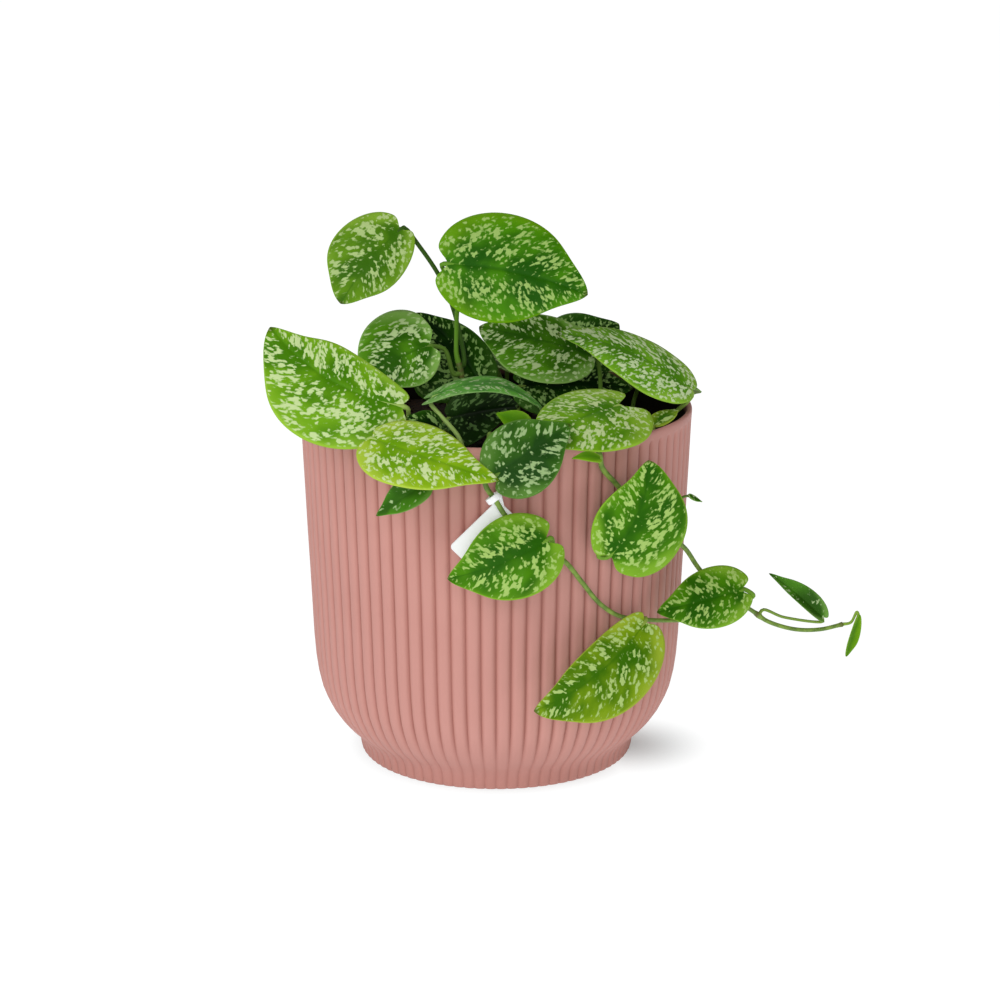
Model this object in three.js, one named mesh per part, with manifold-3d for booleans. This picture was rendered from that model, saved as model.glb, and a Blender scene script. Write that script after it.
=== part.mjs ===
// Satin pothos (Scindapsus pictus) in a fluted cover pot.
// Millimetres, +Z up. The origin is the centre of the pot's underside.

import * as THREE from 'three';
import { mergeVertices } from 'three/addons/utils/BufferGeometryUtils.js';
import Module from 'manifold-3d';

const wasm = await Module();
wasm.setup();

// ---------------------------------------------------------------- pot

const POT_HEIGHT = 129;
const RIB_COUNT = 80;
const POINTS_PER_RIB = 3;
const RIB_DEPTH = 1.1;
const RIB_TOP = 125.2;
const LIP_START = 126.4;

// Outer wall from the foot to the lip, as [height, radius over the rib crests].
const POT_WALL = [
  [0, 49.8],
  [7, 50.7],
  [10, 54],
  [15, 59],
  [23, 63.2],
  [38, 66.3],
  [RIB_TOP, 70.1],
];
const LIP_RADIUS = 70.2;
const LIP_WALL = 1.8;
const POT_FLOOR = 3;
const INNER_SEGMENTS = 48;

// Cavity from the floor to the mouth, as [height, radius].
const POT_CAVITY = [
  [POT_FLOOR, 46],
  [8, 47.6],
  [14, 55.2],
  [24, 60.4],
  [45, 63.8],
  [POT_HEIGHT, LIP_RADIUS - LIP_WALL],
];

// ---------------------------------------------------------------- soil

const SEAT_GAP = 0.3;
const SOIL_TOP = 117;
const SOIL_CROWN = 3;
const SOIL_BUMP = 0.7;
const SOIL_SEGMENTS = 24;
const SOIL_RINGS = 4;
const SOIL_CLEARANCE = 0.35;
const HOLE_SIDES = 6;
const HOLE_DEPTH = 9;
const HOLE_PLAY = 0.5;
const HOLE_FLOOR = SOIL_TOP - HOLE_DEPTH;
const HOLE_LENGTH = HOLE_DEPTH + 2 * SOIL_CROWN;

// ---------------------------------------------------------------- label

const LABEL_WIDTH = 23;
const LABEL_HEIGHT = 20;
const LABEL_THICKNESS = 0.7;
const LABEL_CORNER = 1.5;
const LABEL_TAB_WIDTH = 3;
const LABEL_TAB_REACH = 2.1;
const LABEL_TAB_SET = 0.3;
const LABEL_CENTRE = [-0.4, -72.9, 97];
const LABEL_RING_PLAY = 0.55;
const LABEL_RING_WALL = 1.1;
const LABEL_RING_HEIGHT = 2.2;
const LABEL_RING_SIDES = 10;
const LABEL_RING_SHARE = 0.36;

// ---------------------------------------------------------------- leaf growth

const BLADE_THICKNESS = 0.8;
const STALK_RADIUS = 0.95;
const STALK_STEPS = 5;
const STALK_STRAIGHT = 1;
const NECK_BACK = 2.2;
const NECK_DROP = 1.4;
const STEM_RADIUS = 1.2;
const STEM_SIDES = 6;
const STEM_STEP = 4.5;

// Stations along the blade: each is the angle of the rim point, from the notch (0) to the tip (PI).
const BLADE_STATIONS = [0.07, 0.24, 0.5, 0.92, 1.4, 1.94, 2.46, 2.84, 3.12];
const BLADE_COLUMNS = [-1, -0.5, 0, 0.5, 1];

// Heart outline, in shares of the blade's length and half width.
const NOTCH_WIDTH = 0.2;
const TIP_SHARE = 0.16;
const TIP_POWER = 30;
const RIB_LAG = 1.3;

/**
 * The routes of the stems. Each starts in the soil, at the foot of its hole, and passes the points
 * in turn.
 */
const STEMS = {
  stem_crown: [[-12, -8], [-12, -8, 128], [-12.2, -8, 140], [-13.5, -8, 146]],
  vine_front: [
    [-2, -50], [-2.5, -56, 127], [-2, -64, 132.4], [-2, -70, 132], [-2.8, -74, 126],
    [-3.5, -75, 118], [0, -75.6, 112.5], [3.5, -75.8, 107], [9, -75.4, 102], [16, -74.8, 96],
    [23.2, -70.5, 90], [29, -67.5, 82], [35, -63.5, 73.5], [42, -58.6, 67.3], [52, -51, 63.4],
    [63, -44, 61], [72, -39.5, 60],
  ],
  vine_right: [
    [24, -46], [26, -52, 126], [28.5, -58, 130.9], [31.8, -63.8, 130.9], [34.5, -67, 126.5],
    [35.5, -66, 121.5], [40, -63, 115.5], [46, -59, 108], [52.6, -53.5, 100], [60, -45.5, 92],
    [66, -39, 85.5], [72, -34, 76], [82.5, -30, 65.6], [91.4, -27, 59], [97, -25, 54.6],
    [107, -23, 51], [116, -22, 50.6], [125, -20.5, 52.2],
  ],
  vine_back: [
    [-18, 44], [-20, 52, 127], [-22, 60, 132.6], [-24, 66, 132.8], [-26, 70.5, 127],
    [-27.5, 71, 117], [-31, 69, 104], [-36, 65.5, 92], [-38, 63.5, 80], [-34, 65.5, 66],
    [-27, 68.5, 54],
  ],
};

/**
 * Each leaf: from is the stem it grows on with a share of that stem's length, or its own place in
 * the soil; via are the points its stalk passes; base is the notch of the blade, tip its point and
 * face the way its upper side looks. width and lobe (how far the two ears reach back past the
 * notch) are sizes. arch lifts the middle of the midrib, bow swings it to the right, cup lifts the
 * margins and fold lifts them in a V. taper moves the widest place from the middle of the blade (0)
 * towards the notch. lean makes the right half wider than the left, as a share, and full above 1
 * makes both halves fuller towards notch and tip.
 */
const LEAVES = {
  // Crown, raised over the pot.
  leaf_top_left: {
    from: ['stem_crown', 0.94], via: [[-14.6, -4.5, 162], [-19.6, -5, 175], [-27.2, -6.5, 187]],
    base: [-33.3, -8, 192.9], tip: [-54, -20, 168.6], face: [-0.1, -0.9, 0.4],
    width: 28, lobe: 3, arch: 1, bow: 1, cup: -1, fold: 0, taper: -0.1, lean: 0.15, full: 1.18,
  },
  leaf_top: {
    from: ['stem_crown', 1], via: [[-14, -8.5, 158], [-14, -14, 172]],
    base: [-16.8, -22, 183], tip: [31.5, -30, 173.5], face: [0.05, -0.92, 0.4],
    width: 39.4, lobe: 5, arch: 1, bow: -2, cup: -2, fold: 0, taper: 0.06, lean: -0.05, full: 1.06,
  },
  leaf_upper_left: {
    from: ['stem_crown', 0.88], via: [[-18, -9, 150]],
    base: [-23, -12, 152.3], tip: [-47, -20, 138.2], face: [-0.1, -0.75, 0.66],
    width: 33.5, lobe: 3, arch: 1, bow: 2, cup: -1.5, fold: 0, taper: 0.15, lean: 0.22, full: 1,
  },
  leaf_shade: {
    from: [-2, 4], via: [[-3, 7, 126]],
    base: [-6, 8, 134], tip: [-29, 18, 158.4], face: [0.1, -0.8, 0.6],
    width: 32, lobe: 4, arch: 1, bow: 2, cup: -1, fold: 0, taper: 0.2, lean: -0.35, full: 1,
  },
  leaf_middle: {
    from: [-11, -47], via: [[-12.5, -48.5, 127.5], [-19.2, -47.5, 135.5]],
    base: [-21, -45, 141.2], tip: [16.2, -46.5, 136.8], face: [0, -0.08, 1],
    width: 24, lobe: 6, arch: 6.5, bow: 0, cup: -1, fold: 0, taper: 0.04, lean: -0.35, full: 1,
  },
  leaf_right_shade: {
    from: [34, -6], via: [[37, -5, 130]],
    base: [35.6, 6, 145.2], tip: [-6.2, 14, 154], face: [0, -0.7, 0.7],
    width: 29.5, lobe: 1.5, arch: 2, bow: -0.5, cup: 1, fold: 0, taper: -0.05, lean: -0.28, full: 1.12,
  },
  leaf_back_top: {
    from: [32, 36], via: [[30, 37, 130]],
    base: [26, 34, 139.5], tip: [46, 46, 149], face: [0.1, -0.7, 0.7],
    width: 30, lobe: 4, arch: 2, bow: 0, cup: -1, fold: 0, taper: 0.2, lean: 0, full: 1,
  },
  leaf_right: {
    from: [56, -8], via: [[60, -8, 124]],
    base: [69.2, -12, 136.1], tip: [21.4, -14, 157], face: [0.3, -0.36, 0.87],
    width: 34, lobe: 2, arch: 3, bow: 2.5, cup: -2, fold: 0, taper: 0.22, lean: -0.02, full: 1.08,
  },
  leaf_right_low: {
    from: [44, -40], via: [[46, -41, 128]],
    base: [41.5, -50.5, 139.3], tip: [10.5, -74.5, 130.4], face: [0.05, -0.4, 0.9],
    width: 35, lobe: 9.5, arch: 2, bow: 0, cup: -2, fold: 0, taper: 0.1, lean: -0.1, full: 1,
  },
  leaf_new: {
    from: [14, -50], via: [[15, -51, 128]],
    base: [11, -59, 133], tip: [0, -57, 138], face: [0, -0.8, 0.6],
    width: 8, lobe: 1, arch: 1, bow: 0, cup: 1, fold: 0, taper: 0.2, lean: 0, full: 1,
  },
  // Left side, over the rim.
  leaf_left: {
    from: [-30, -38], via: [[-31, -41, 126]],
    base: [-31.4, -57, 140.5], tip: [-75.7, -52, 166.5], face: [-0.1, -0.8, 0.6],
    width: 34.6, lobe: 4, arch: 1, bow: -5.5, cup: -1, fold: 0, taper: -0.22, lean: -0.27, full: 1.02,
  },
  leaf_left_low: {
    from: [-24, -46], via: [[-26, -52, 128], [-33, -63, 130.8]],
    base: [-41, -74.2, 133.6], tip: [1, -90.5, 123.3], face: [0.1, -0.6, 0.8],
    width: 29.4, lobe: 2.6, arch: 2, bow: 2, cup: -1, fold: 0, taper: 0.22, lean: 0.02, full: 1,
  },
  leaf_left_under: {
    from: [-16, -52], via: [[-17, -60, 131], [-16, -69, 132], [-15, -75, 125]],
    base: [-22, -80, 119.5], tip: [-39.5, -80, 108.5], face: [-0.1, -0.8, 0.5],
    width: 11, lobe: 1, arch: 1, bow: 0, cup: 2, fold: 0, taper: 0.2, lean: 0, full: 1,
  },
  // Front vine.
  leaf_front_high: {
    from: ['vine_front', 0.3], via: [],
    base: [0.3, -81.5, 122.8], tip: [24.6, -75, 138.2], face: [-0.1, -0.9, 0.4],
    width: 25.8, lobe: 4, arch: 1, bow: 0, cup: -1, fold: 0, taper: 0.1, lean: 0, full: 1,
  },
  leaf_front: {
    from: ['vine_front', 0.52], via: [],
    base: [16.7, -80, 100], tip: [-16, -84, 88], face: [0, -0.95, 0.3],
    width: 28, lobe: 5, arch: 2, bow: -1.5, cup: -1, fold: 0, taper: 0.1, lean: 0, full: 1,
  },
  leaf_front_low: {
    from: ['vine_front', 0.83], via: [],
    base: [51, -60, 65.5], tip: [12.8, -82, 41], face: [0.3, -0.9, 0.3],
    width: 26, lobe: 3, arch: 2, bow: -3.3, cup: -1, fold: 0, taper: 0.02, lean: -0.31, full: 1.15,
  },
  // Right vine.
  leaf_right_front: {
    from: ['vine_right', 0.36], via: [[39.5, -66.5, 98], [34.4, -68.6, 91.5]],
    base: [38.5, -68.5, 91.5], tip: [51, -66, 124], face: [0.35, -0.93, 0.1],
    width: 34, lobe: 3.5, arch: 2, bow: 3, cup: -1, fold: 0, taper: 0.08, lean: 0.2, full: 1.08,
  },
  leaf_heart: {
    from: ['vine_right', 0.76], via: [[91, -31, 66]],
    base: [86.6, -34, 68.9], tip: [55.7, -50, 65.8], face: [0.3, -0.9, 0.3],
    width: 21.6, lobe: 5, arch: 1, bow: 0, cup: -1, fold: 0, taper: 0.1, lean: 0, full: 1,
  },
  leaf_folded: {
    from: ['vine_right', 0.81], via: [[103, -23, 55.5]],
    base: [116.8, -22.6, 55.3], tip: [98.2, -14, 69.2], face: [0.3, -0.7, 0.6],
    width: 8.4, lobe: 2, arch: 1, bow: 0, cup: 1, fold: 1.5, taper: 0.2, lean: 0, full: 1,
  },
  leaf_end: {
    from: ['vine_right', 1], via: [],
    base: [130.4, -20, 55.6], tip: [125.6, -24, 41], face: [0.7, -0.6, 0.3],
    width: 5.5, lobe: 0, arch: 0, bow: 0, cup: 1, fold: 0, taper: -0.3, lean: 0, full: 1.3,
  },
  leaf_sprout: {
    from: ['vine_right', 0.45], via: [],
    base: [66.8, -38.2, 104.6], tip: [71.8, -36, 101.6], face: [0.2, -0.6, 0.8],
    width: 2.4, lobe: 0.3, arch: 0, bow: 0, cup: 0, fold: 0, taper: 0.2, lean: 0, full: 1,
  },
  leaf_rim: {
    from: ['vine_right', 0.2], via: [],
    base: [34.2, -77.5, 127.4], tip: [25, -80, 128], face: [0, -0.5, 0.85],
    width: 5, lobe: 1, arch: 1, bow: 0, cup: 0, fold: 0, taper: 0.2, lean: 0, full: 1,
  },
  leaf_rim_right: {
    from: [55, -34], via: [[55.5, -32, 125]],
    base: [55, -31, 128], tip: [64, -22, 131.4], face: [-0.4, -0.5, 0.75],
    width: 9, lobe: 1, arch: 1, bow: 0, cup: 0, fold: 0, taper: 0.2, lean: 0, full: 1,
  },
  leaf_inner: {
    from: [-20, -16], via: [[-20, -17, 123]],
    base: [-17, -21, 128], tip: [8, -31, 134.5], face: [0, -0.6, 0.8],
    width: 30, lobe: 3, arch: 1, bow: 0, cup: -1, fold: 0, taper: 0.15, lean: 0, full: 1,
  },
  leaf_inner_right: {
    from: [8, 12], via: [[8, 13, 124]],
    base: [9, 14, 132], tip: [50, 15, 131], face: [0, -0.75, 0.65],
    width: 25, lobe: 4, arch: 2, bow: 0, cup: -1, fold: 0, taper: 0.15, lean: 0, full: 1,
  },
  leaf_inner_left: {
    from: [-17, -38], via: [[-17, -41, 128]],
    base: [-18.5, -53, 131], tip: [-30, -58, 137], face: [0, -0.7, 0.7],
    width: 11, lobe: 1, arch: 1, bow: 0, cup: 0, fold: 0, taper: 0.2, lean: 0, full: 1,
  },
  // Back of the pot.
  leaf_back_left: {
    from: [-40, 10], via: [[-43, 11, 128]],
    base: [-49, 14, 136], tip: [-78, 36, 130], face: [-0.3, 0.2, 0.93],
    width: 37, lobe: 5, arch: 4, bow: 0, cup: -2, fold: 0, taper: 0.15, lean: 0, full: 1,
  },
  leaf_back: {
    from: [4, 40], via: [[4, 43, 130]],
    base: [4, 49, 139], tip: [2, 90, 119], face: [0, 0.5, 0.87],
    width: 40, lobe: 6, arch: 5, bow: 0, cup: -2, fold: 0, taper: 0.12, lean: 0, full: 1,
  },
  leaf_back_right: {
    from: [30, 42], via: [[32, 45, 128]],
    base: [40, 46, 139], tip: [62, 68, 113], face: [0.35, 0.6, 0.72],
    width: 36, lobe: 5, arch: 5, bow: 0, cup: -2, fold: 0, taper: 0.15, lean: 0, full: 1,
  },
  leaf_back_centre: {
    from: [4, 22], via: [[3, 24, 128]],
    base: [0, 24, 137], tip: [-24, 38, 141], face: [0, 0.1, 1],
    width: 34, lobe: 5, arch: 3, bow: 0, cup: -2, fold: 0, taper: 0.15, lean: 0, full: 1,
  },
  leaf_back_side: {
    from: [50, 20], via: [[51, 22, 126]],
    base: [56, 17, 137], tip: [71, 42, 121], face: [0.6, 0.3, 0.75],
    width: 30, lobe: 4, arch: 5, bow: 0, cup: -1, fold: 0, taper: 0.15, lean: 0, full: 1,
  },
  leaf_side_left: {
    from: [-48, -16], via: [[-50, -16, 126]],
    base: [-54, -14, 137], tip: [-79, 0, 128], face: [-0.5, 0.1, 0.85],
    width: 26, lobe: 4, arch: 3, bow: 0, cup: -1, fold: 0, taper: 0.15, lean: 0, full: 1,
  },
  leaf_back_vine_1: {
    from: ['vine_back', 0.42], via: [],
    base: [-32, 76, 118], tip: [-56, 68, 92], face: [-0.45, 0.85, 0.25],
    width: 32, lobe: 4, arch: 2, bow: 0, cup: -1, fold: 0, taper: 0.15, lean: 0, full: 1,
  },
  leaf_back_vine_2: {
    from: ['vine_back', 0.62], via: [],
    base: [-30, 73, 94], tip: [-2, 80, 76], face: [-0.1, 0.95, 0.2],
    width: 31, lobe: 4, arch: 2, bow: 0, cup: -1, fold: 0, taper: 0.15, lean: 0, full: 1,
  },
  leaf_back_vine_3: {
    from: ['vine_back', 0.84], via: [],
    base: [-39, 68, 66], tip: [-54, 62, 40], face: [-0.5, 0.85, 0.1],
    width: 26, lobe: 4, arch: 2, bow: 0, cup: -1, fold: 0, taper: 0.18, lean: 0, full: 1,
  },
  leaf_back_vine_4: {
    from: ['vine_back', 1], via: [],
    base: [-24, 71, 49], tip: [-12, 72, 34], face: [-0.1, 0.95, 0.2],
    width: 13, lobe: 1.5, arch: 1, bow: 0, cup: 1, fold: 0, taper: 0.2, lean: 0, full: 1,
  },
};

/** A point from an [x, y, z] triple. */
const point = ([x, y, z]) => new THREE.Vector3(x, y, z);

/** The rim point at a station: how far out (0 to 1 of the half width) and how far along (mm). */
function rimPoint(station, length, leaf) {
  const outline = (angle) => Math.sin(angle) * (1 + leaf.taper * Math.cos(angle));
  const widest = Math.acos((Math.sqrt(1 + 8 * leaf.taper ** 2) - 1) / (4 * leaf.taper));
  const out = (outline(station) / outline(widest)) ** (1 / leaf.full);
  const share = (1 - Math.cos(station)) / 2;
  const spur = TIP_SHARE * length;
  const body = (length + leaf.lobe - spur) * share + spur * share ** TIP_POWER;
  const notch = leaf.lobe * (1 - share) * Math.exp(-((out / NOTCH_WIDTH) ** 2));
  return { out, along: body + notch - leaf.lobe };
}

/** The midrib of a leaf: gives place, direction and upward normal at a length along the blade. */
function midrib(leaf) {
  const base = point(leaf.base);
  const tip = point(leaf.tip);
  const length = base.distanceTo(tip);
  const along = tip.clone().sub(base).normalize();
  const side = along.clone().cross(point(leaf.face)).normalize();
  const up = side.clone().cross(along).normalize();
  const at = (distance) => {
    const share = THREE.MathUtils.clamp(distance / length, 0, 1);
    const hump = 4 * share * (1 - share);
    const slope = (4 * (1 - 2 * share)) / length;
    const heading = along.clone()
      .addScaledVector(up, leaf.arch * slope)
      .addScaledVector(side, leaf.bow * slope)
      .normalize();
    const place = base.clone()
      .addScaledVector(along, share * length)
      .addScaledVector(up, leaf.arch * hump)
      .addScaledVector(side, leaf.bow * hump)
      .addScaledVector(heading, distance - share * length);
    const normal = up.clone().addScaledVector(heading, -up.dot(heading)).normalize();
    return { place, heading, normal, side: heading.clone().cross(normal) };
  };
  return { length, at };
}

/** One closed ring of ten points across the blade at a station: five above, five below. */
function bladeRing(leaf, rib, station) {
  const rim = rimPoint(station, rib.length, leaf);
  const middle = rib.length * (station / BLADE_STATIONS.at(-1)) ** RIB_LAG;
  const above = [];
  const below = [];
  for (const column of BLADE_COLUMNS) {
    const reach = Math.abs(column);
    const width = leaf.width / 2;
    const across = column * rim.out * width * (1 + leaf.lean * Math.sign(column));
    const distance = THREE.MathUtils.lerp(middle, rim.along, reach);
    const frame = rib.at(distance);
    const share = Math.abs(across) / width;
    const lift = leaf.cup * share * share + leaf.fold * share;
    const place = frame.place.clone()
      .addScaledVector(frame.side, across)
      .addScaledVector(frame.normal, lift);
    above.push(place.clone().addScaledVector(frame.normal, BLADE_THICKNESS / 2));
    below.unshift(place.clone().addScaledVector(frame.normal, -BLADE_THICKNESS / 2));
  }
  return [...above, ...below];
}

/** A straight start for a stalk or stem: up from the foot of its hole to clear of the soil. */
function rooted([x, y]) {
  return [
    new THREE.Vector3(x, y, HOLE_FLOOR + SEAT_GAP),
    new THREE.Vector3(x, y, SOIL_TOP - 2 * STALK_STRAIGHT),
    new THREE.Vector3(x, y, SOIL_TOP + SOIL_CROWN + STALK_STRAIGHT),
  ];
}

/** The curve a stem follows. */
function stemCurve([foot, ...route]) {
  return new THREE.CatmullRomCurve3([...rooted(foot), ...route.map(point)], false, 'centripetal');
}

const stemCurves = Object.fromEntries(
  Object.entries(STEMS).map(([name, route]) => [name, stemCurve(route)]),
);

/** Where a stalk starts: in the soil, or seated on its stem on the side of the next point. */
function stalkStart(leaf, next) {
  const [where, share] = leaf.from;
  if (typeof where === 'number') {
    return rooted(leaf.from);
  }
  const curve = stemCurves[where];
  const centre = curve.getPointAt(share);
  const away = next.clone().sub(centre);
  const heading = curve.getTangentAt(share);
  if (share < 1) {
    away.addScaledVector(heading, -away.dot(heading)).normalize();
  } else {
    away.copy(heading);
  }
  const reach = share < 1 ? STEM_RADIUS + SEAT_GAP : SEAT_GAP;
  const foot = centre.clone().addScaledVector(away, reach);
  return [foot, foot.clone().addScaledVector(away, STALK_STRAIGHT)];
}

/**
 * Ten-point rings round the leaf stalk, from its foot up to the blade. Like a blade's ring, each has
 * its first five points above and goes from left to right.
 */
function stalkRings(leaf, rib) {
  const start = rib.at(0);
  const neck = start.place.clone()
    .addScaledVector(start.heading, -NECK_BACK)
    .addScaledVector(start.normal, -NECK_DROP);
  const rest = [...leaf.via.map(point), neck, start.place];
  const path = [...stalkStart(leaf, rest[0]), ...rest];
  const curve = new THREE.CatmullRomCurve3(path, false, 'centripetal');
  const rings = [];
  const side = start.side.clone();
  for (let step = STALK_STEPS - 1; step >= 0; step -= 1) {
    const share = step / STALK_STEPS;
    const centre = curve.getPointAt(share);
    const heading = curve.getTangentAt(share);
    side.addScaledVector(heading, -side.dot(heading)).normalize();
    const normal = side.clone().cross(heading);
    const ring = [];
    for (let index = 0; index < 2 * BLADE_COLUMNS.length; index += 1) {
      const angle = (Math.PI * (BLADE_COLUMNS.length - 0.5 - index)) / BLADE_COLUMNS.length;
      ring.push(centre.clone()
        .addScaledVector(side, STALK_RADIUS * Math.cos(angle))
        .addScaledVector(normal, STALK_RADIUS * Math.sin(angle)));
    }
    rings.unshift(ring);
  }
  return rings;
}

/** A closed skin over a row of rings. Opposite faces of a blade are split on the same diagonal. */
function skin(rings) {
  const size = rings[0].length;
  const half = size / 2;
  const corners = rings.flat();
  const faces = [];
  const quad = (a, b, c, d, flip) => {
    if (flip) {
      faces.push(a, d, b, b, d, c);
    } else {
      faces.push(a, c, b, a, d, c);
    }
  };
  for (let ring = 0; ring + 1 < rings.length; ring += 1) {
    for (let index = 0; index < size; index += 1) {
      const next = (index + 1) % size;
      const low = ring * size;
      const high = low + size;
      quad(low + index, high + index, high + next, low + next, index >= half);
    }
  }
  const cap = (first, reverse) => {
    for (let index = 0; index + 1 < half; index += 1) {
      const a = first + index;
      const b = first + index + 1;
      const c = first + size - 2 - index;
      const d = first + size - 1 - index;
      faces.push(...(reverse ? [a, b, c, a, c, d] : [a, c, b, a, d, c]));
    }
  };
  cap(0, false);
  cap(corners.length - size, true);
  const geometry = new THREE.BufferGeometry().setFromPoints(corners);
  geometry.setIndex(faces);
  geometry.computeVertexNormals();
  return geometry;
}

/** A leaf: its stalk and its blade in one body. */
function leafGeometry(leaf) {
  const rib = midrib(leaf);
  const rings = stalkRings(leaf, rib);
  for (const station of BLADE_STATIONS) {
    rings.push(bladeRing(leaf, rib, station));
  }
  return skin(rings);
}

/** A stem: a six-sided tube along its route. */
function stemGeometry(name) {
  const section = new THREE.Shape(
    new THREE.EllipseCurve(0, 0, STEM_RADIUS, STEM_RADIUS).getSpacedPoints(STEM_SIDES).slice(1),
  );
  const curve = stemCurves[name];
  const steps = Math.round(curve.getLength() / STEM_STEP);
  return new THREE.ExtrudeGeometry(section, { steps, extrudePath: curve });
}

/** A closed mesh as a solid for cutting. */
function solid(geometry) {
  const bare = geometry.clone();
  bare.deleteAttribute('normal');
  bare.deleteAttribute('uv');
  const merged = mergeVertices(bare);
  const vertProperties = new Float32Array(merged.attributes.position.array);
  const triVerts = new Uint32Array(merged.index.array);
  return new wasm.Manifold(new wasm.Mesh({ numProp: 3, vertProperties, triVerts }));
}

/** The mesh of a cut solid. */
function geometryOf(manifold) {
  const mesh = manifold.getMesh();
  const geometry = new THREE.BufferGeometry();
  geometry.setAttribute('position', new THREE.BufferAttribute(mesh.vertProperties, mesh.numProp));
  geometry.setIndex(new THREE.BufferAttribute(mesh.triVerts, 1));
  geometry.computeVertexNormals();
  return geometry;
}

/** A solid of revolution about Z from [height, radius] pairs, closed on the axis at both ends. */
function turned(profile, segments) {
  const points = profile.map(([height, radius]) => new THREE.Vector2(radius, height));
  points.unshift(new THREE.Vector2(0, profile[0][0]));
  points.push(new THREE.Vector2(0, profile.at(-1)[0]));
  const geometry = new THREE.LatheGeometry(points, segments);
  geometry.rotateX(Math.PI / 2);
  return geometry;
}

/** The pot: a turned wall pressed into upright ribs, hollowed, with a plain lip. */
function potGeometry() {
  const wall = [...POT_WALL, [LIP_START, LIP_RADIUS], [POT_HEIGHT, LIP_RADIUS]];
  const outside = turned(wall, RIB_COUNT * POINTS_PER_RIB);
  const corners = outside.attributes.position;
  const pitch = (2 * Math.PI) / (RIB_COUNT * POINTS_PER_RIB);
  for (let index = 0; index < corners.count; index += 1) {
    const x = corners.getX(index);
    const y = corners.getY(index);
    const radius = Math.hypot(x, y);
    const slot = Math.round(Math.atan2(y, x) / pitch);
    const crease = ((slot % POINTS_PER_RIB) + POINTS_PER_RIB) % POINTS_PER_RIB === 0;
    if (crease && radius > RIB_DEPTH && corners.getZ(index) <= RIB_TOP) {
      const scale = (radius - RIB_DEPTH) / radius;
      corners.setXY(index, x * scale, y * scale);
    }
  }
  const cavity = turned([...POT_CAVITY, [POT_HEIGHT + 1, POT_CAVITY.at(-1)[1]]], INNER_SEGMENTS);
  return geometryOf(solid(outside).subtract(solid(cavity)));
}

/** Radius of the pot's cavity at a height. */
function cavityRadius(height) {
  const above = POT_CAVITY.findIndex(([level]) => level >= height);
  const [[lowLevel, lowRadius], [highLevel, highRadius]] = POT_CAVITY.slice(above - 1, above + 1);
  return lowRadius + ((highRadius - lowRadius) * (height - lowLevel)) / (highLevel - lowLevel);
}

const SOIL_RADIUS = cavityRadius(SOIL_TOP) - SOIL_CLEARANCE;

/** Height of the soil's surface: a low crown with crumbs. */
function soilHeight(x, y) {
  const radius = Math.hypot(x, y);
  const crown = SOIL_CROWN * (1 - (radius / SOIL_RADIUS) ** 2);
  const crumbs = Math.sin(x * 0.31 + 1.3) * Math.cos(y * 0.27) + Math.sin(x * 0.11 - y * 0.23);
  return SOIL_TOP + crown + (SOIL_BUMP * crumbs) / 2;
}

/** The soil: it fills the pot and has a plain hole for each stem and stalk that roots in it. */
function soilGeometry() {
  const profile = POT_CAVITY.filter(([height]) => height < SOIL_TOP)
    .map(([height, radius]) => [height + SEAT_GAP, radius - SOIL_CLEARANCE]);
  for (let ring = SOIL_RINGS; ring > 0; ring -= 1) {
    profile.push([SOIL_TOP, (SOIL_RADIUS * ring) / SOIL_RINGS]);
  }
  const body = turned(profile, SOIL_SEGMENTS);
  const corners = body.attributes.position;
  for (let index = 0; index < corners.count; index += 1) {
    if (corners.getZ(index) === SOIL_TOP) {
      corners.setZ(index, soilHeight(corners.getX(index), corners.getY(index)));
    }
  }
  const leafFeet = Object.values(LEAVES)
    .filter((leaf) => typeof leaf.from[0] === 'number')
    .map((leaf) => [...leaf.from, STALK_RADIUS]);
  const stemFeet = Object.values(STEMS).map(([foot]) => [...foot, STEM_RADIUS]);
  let soil = solid(body);
  for (const [x, y, radius] of [...leafFeet, ...stemFeet]) {
    const wide = radius + HOLE_PLAY;
    const hole = new THREE.CylinderGeometry(wide, wide, HOLE_LENGTH, HOLE_SIDES);
    hole.rotateX(Math.PI / 2).translate(x, y, HOLE_FLOOR + HOLE_LENGTH / 2);
    soil = soil.subtract(solid(hole));
  }
  return geometryOf(soil);
}

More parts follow.
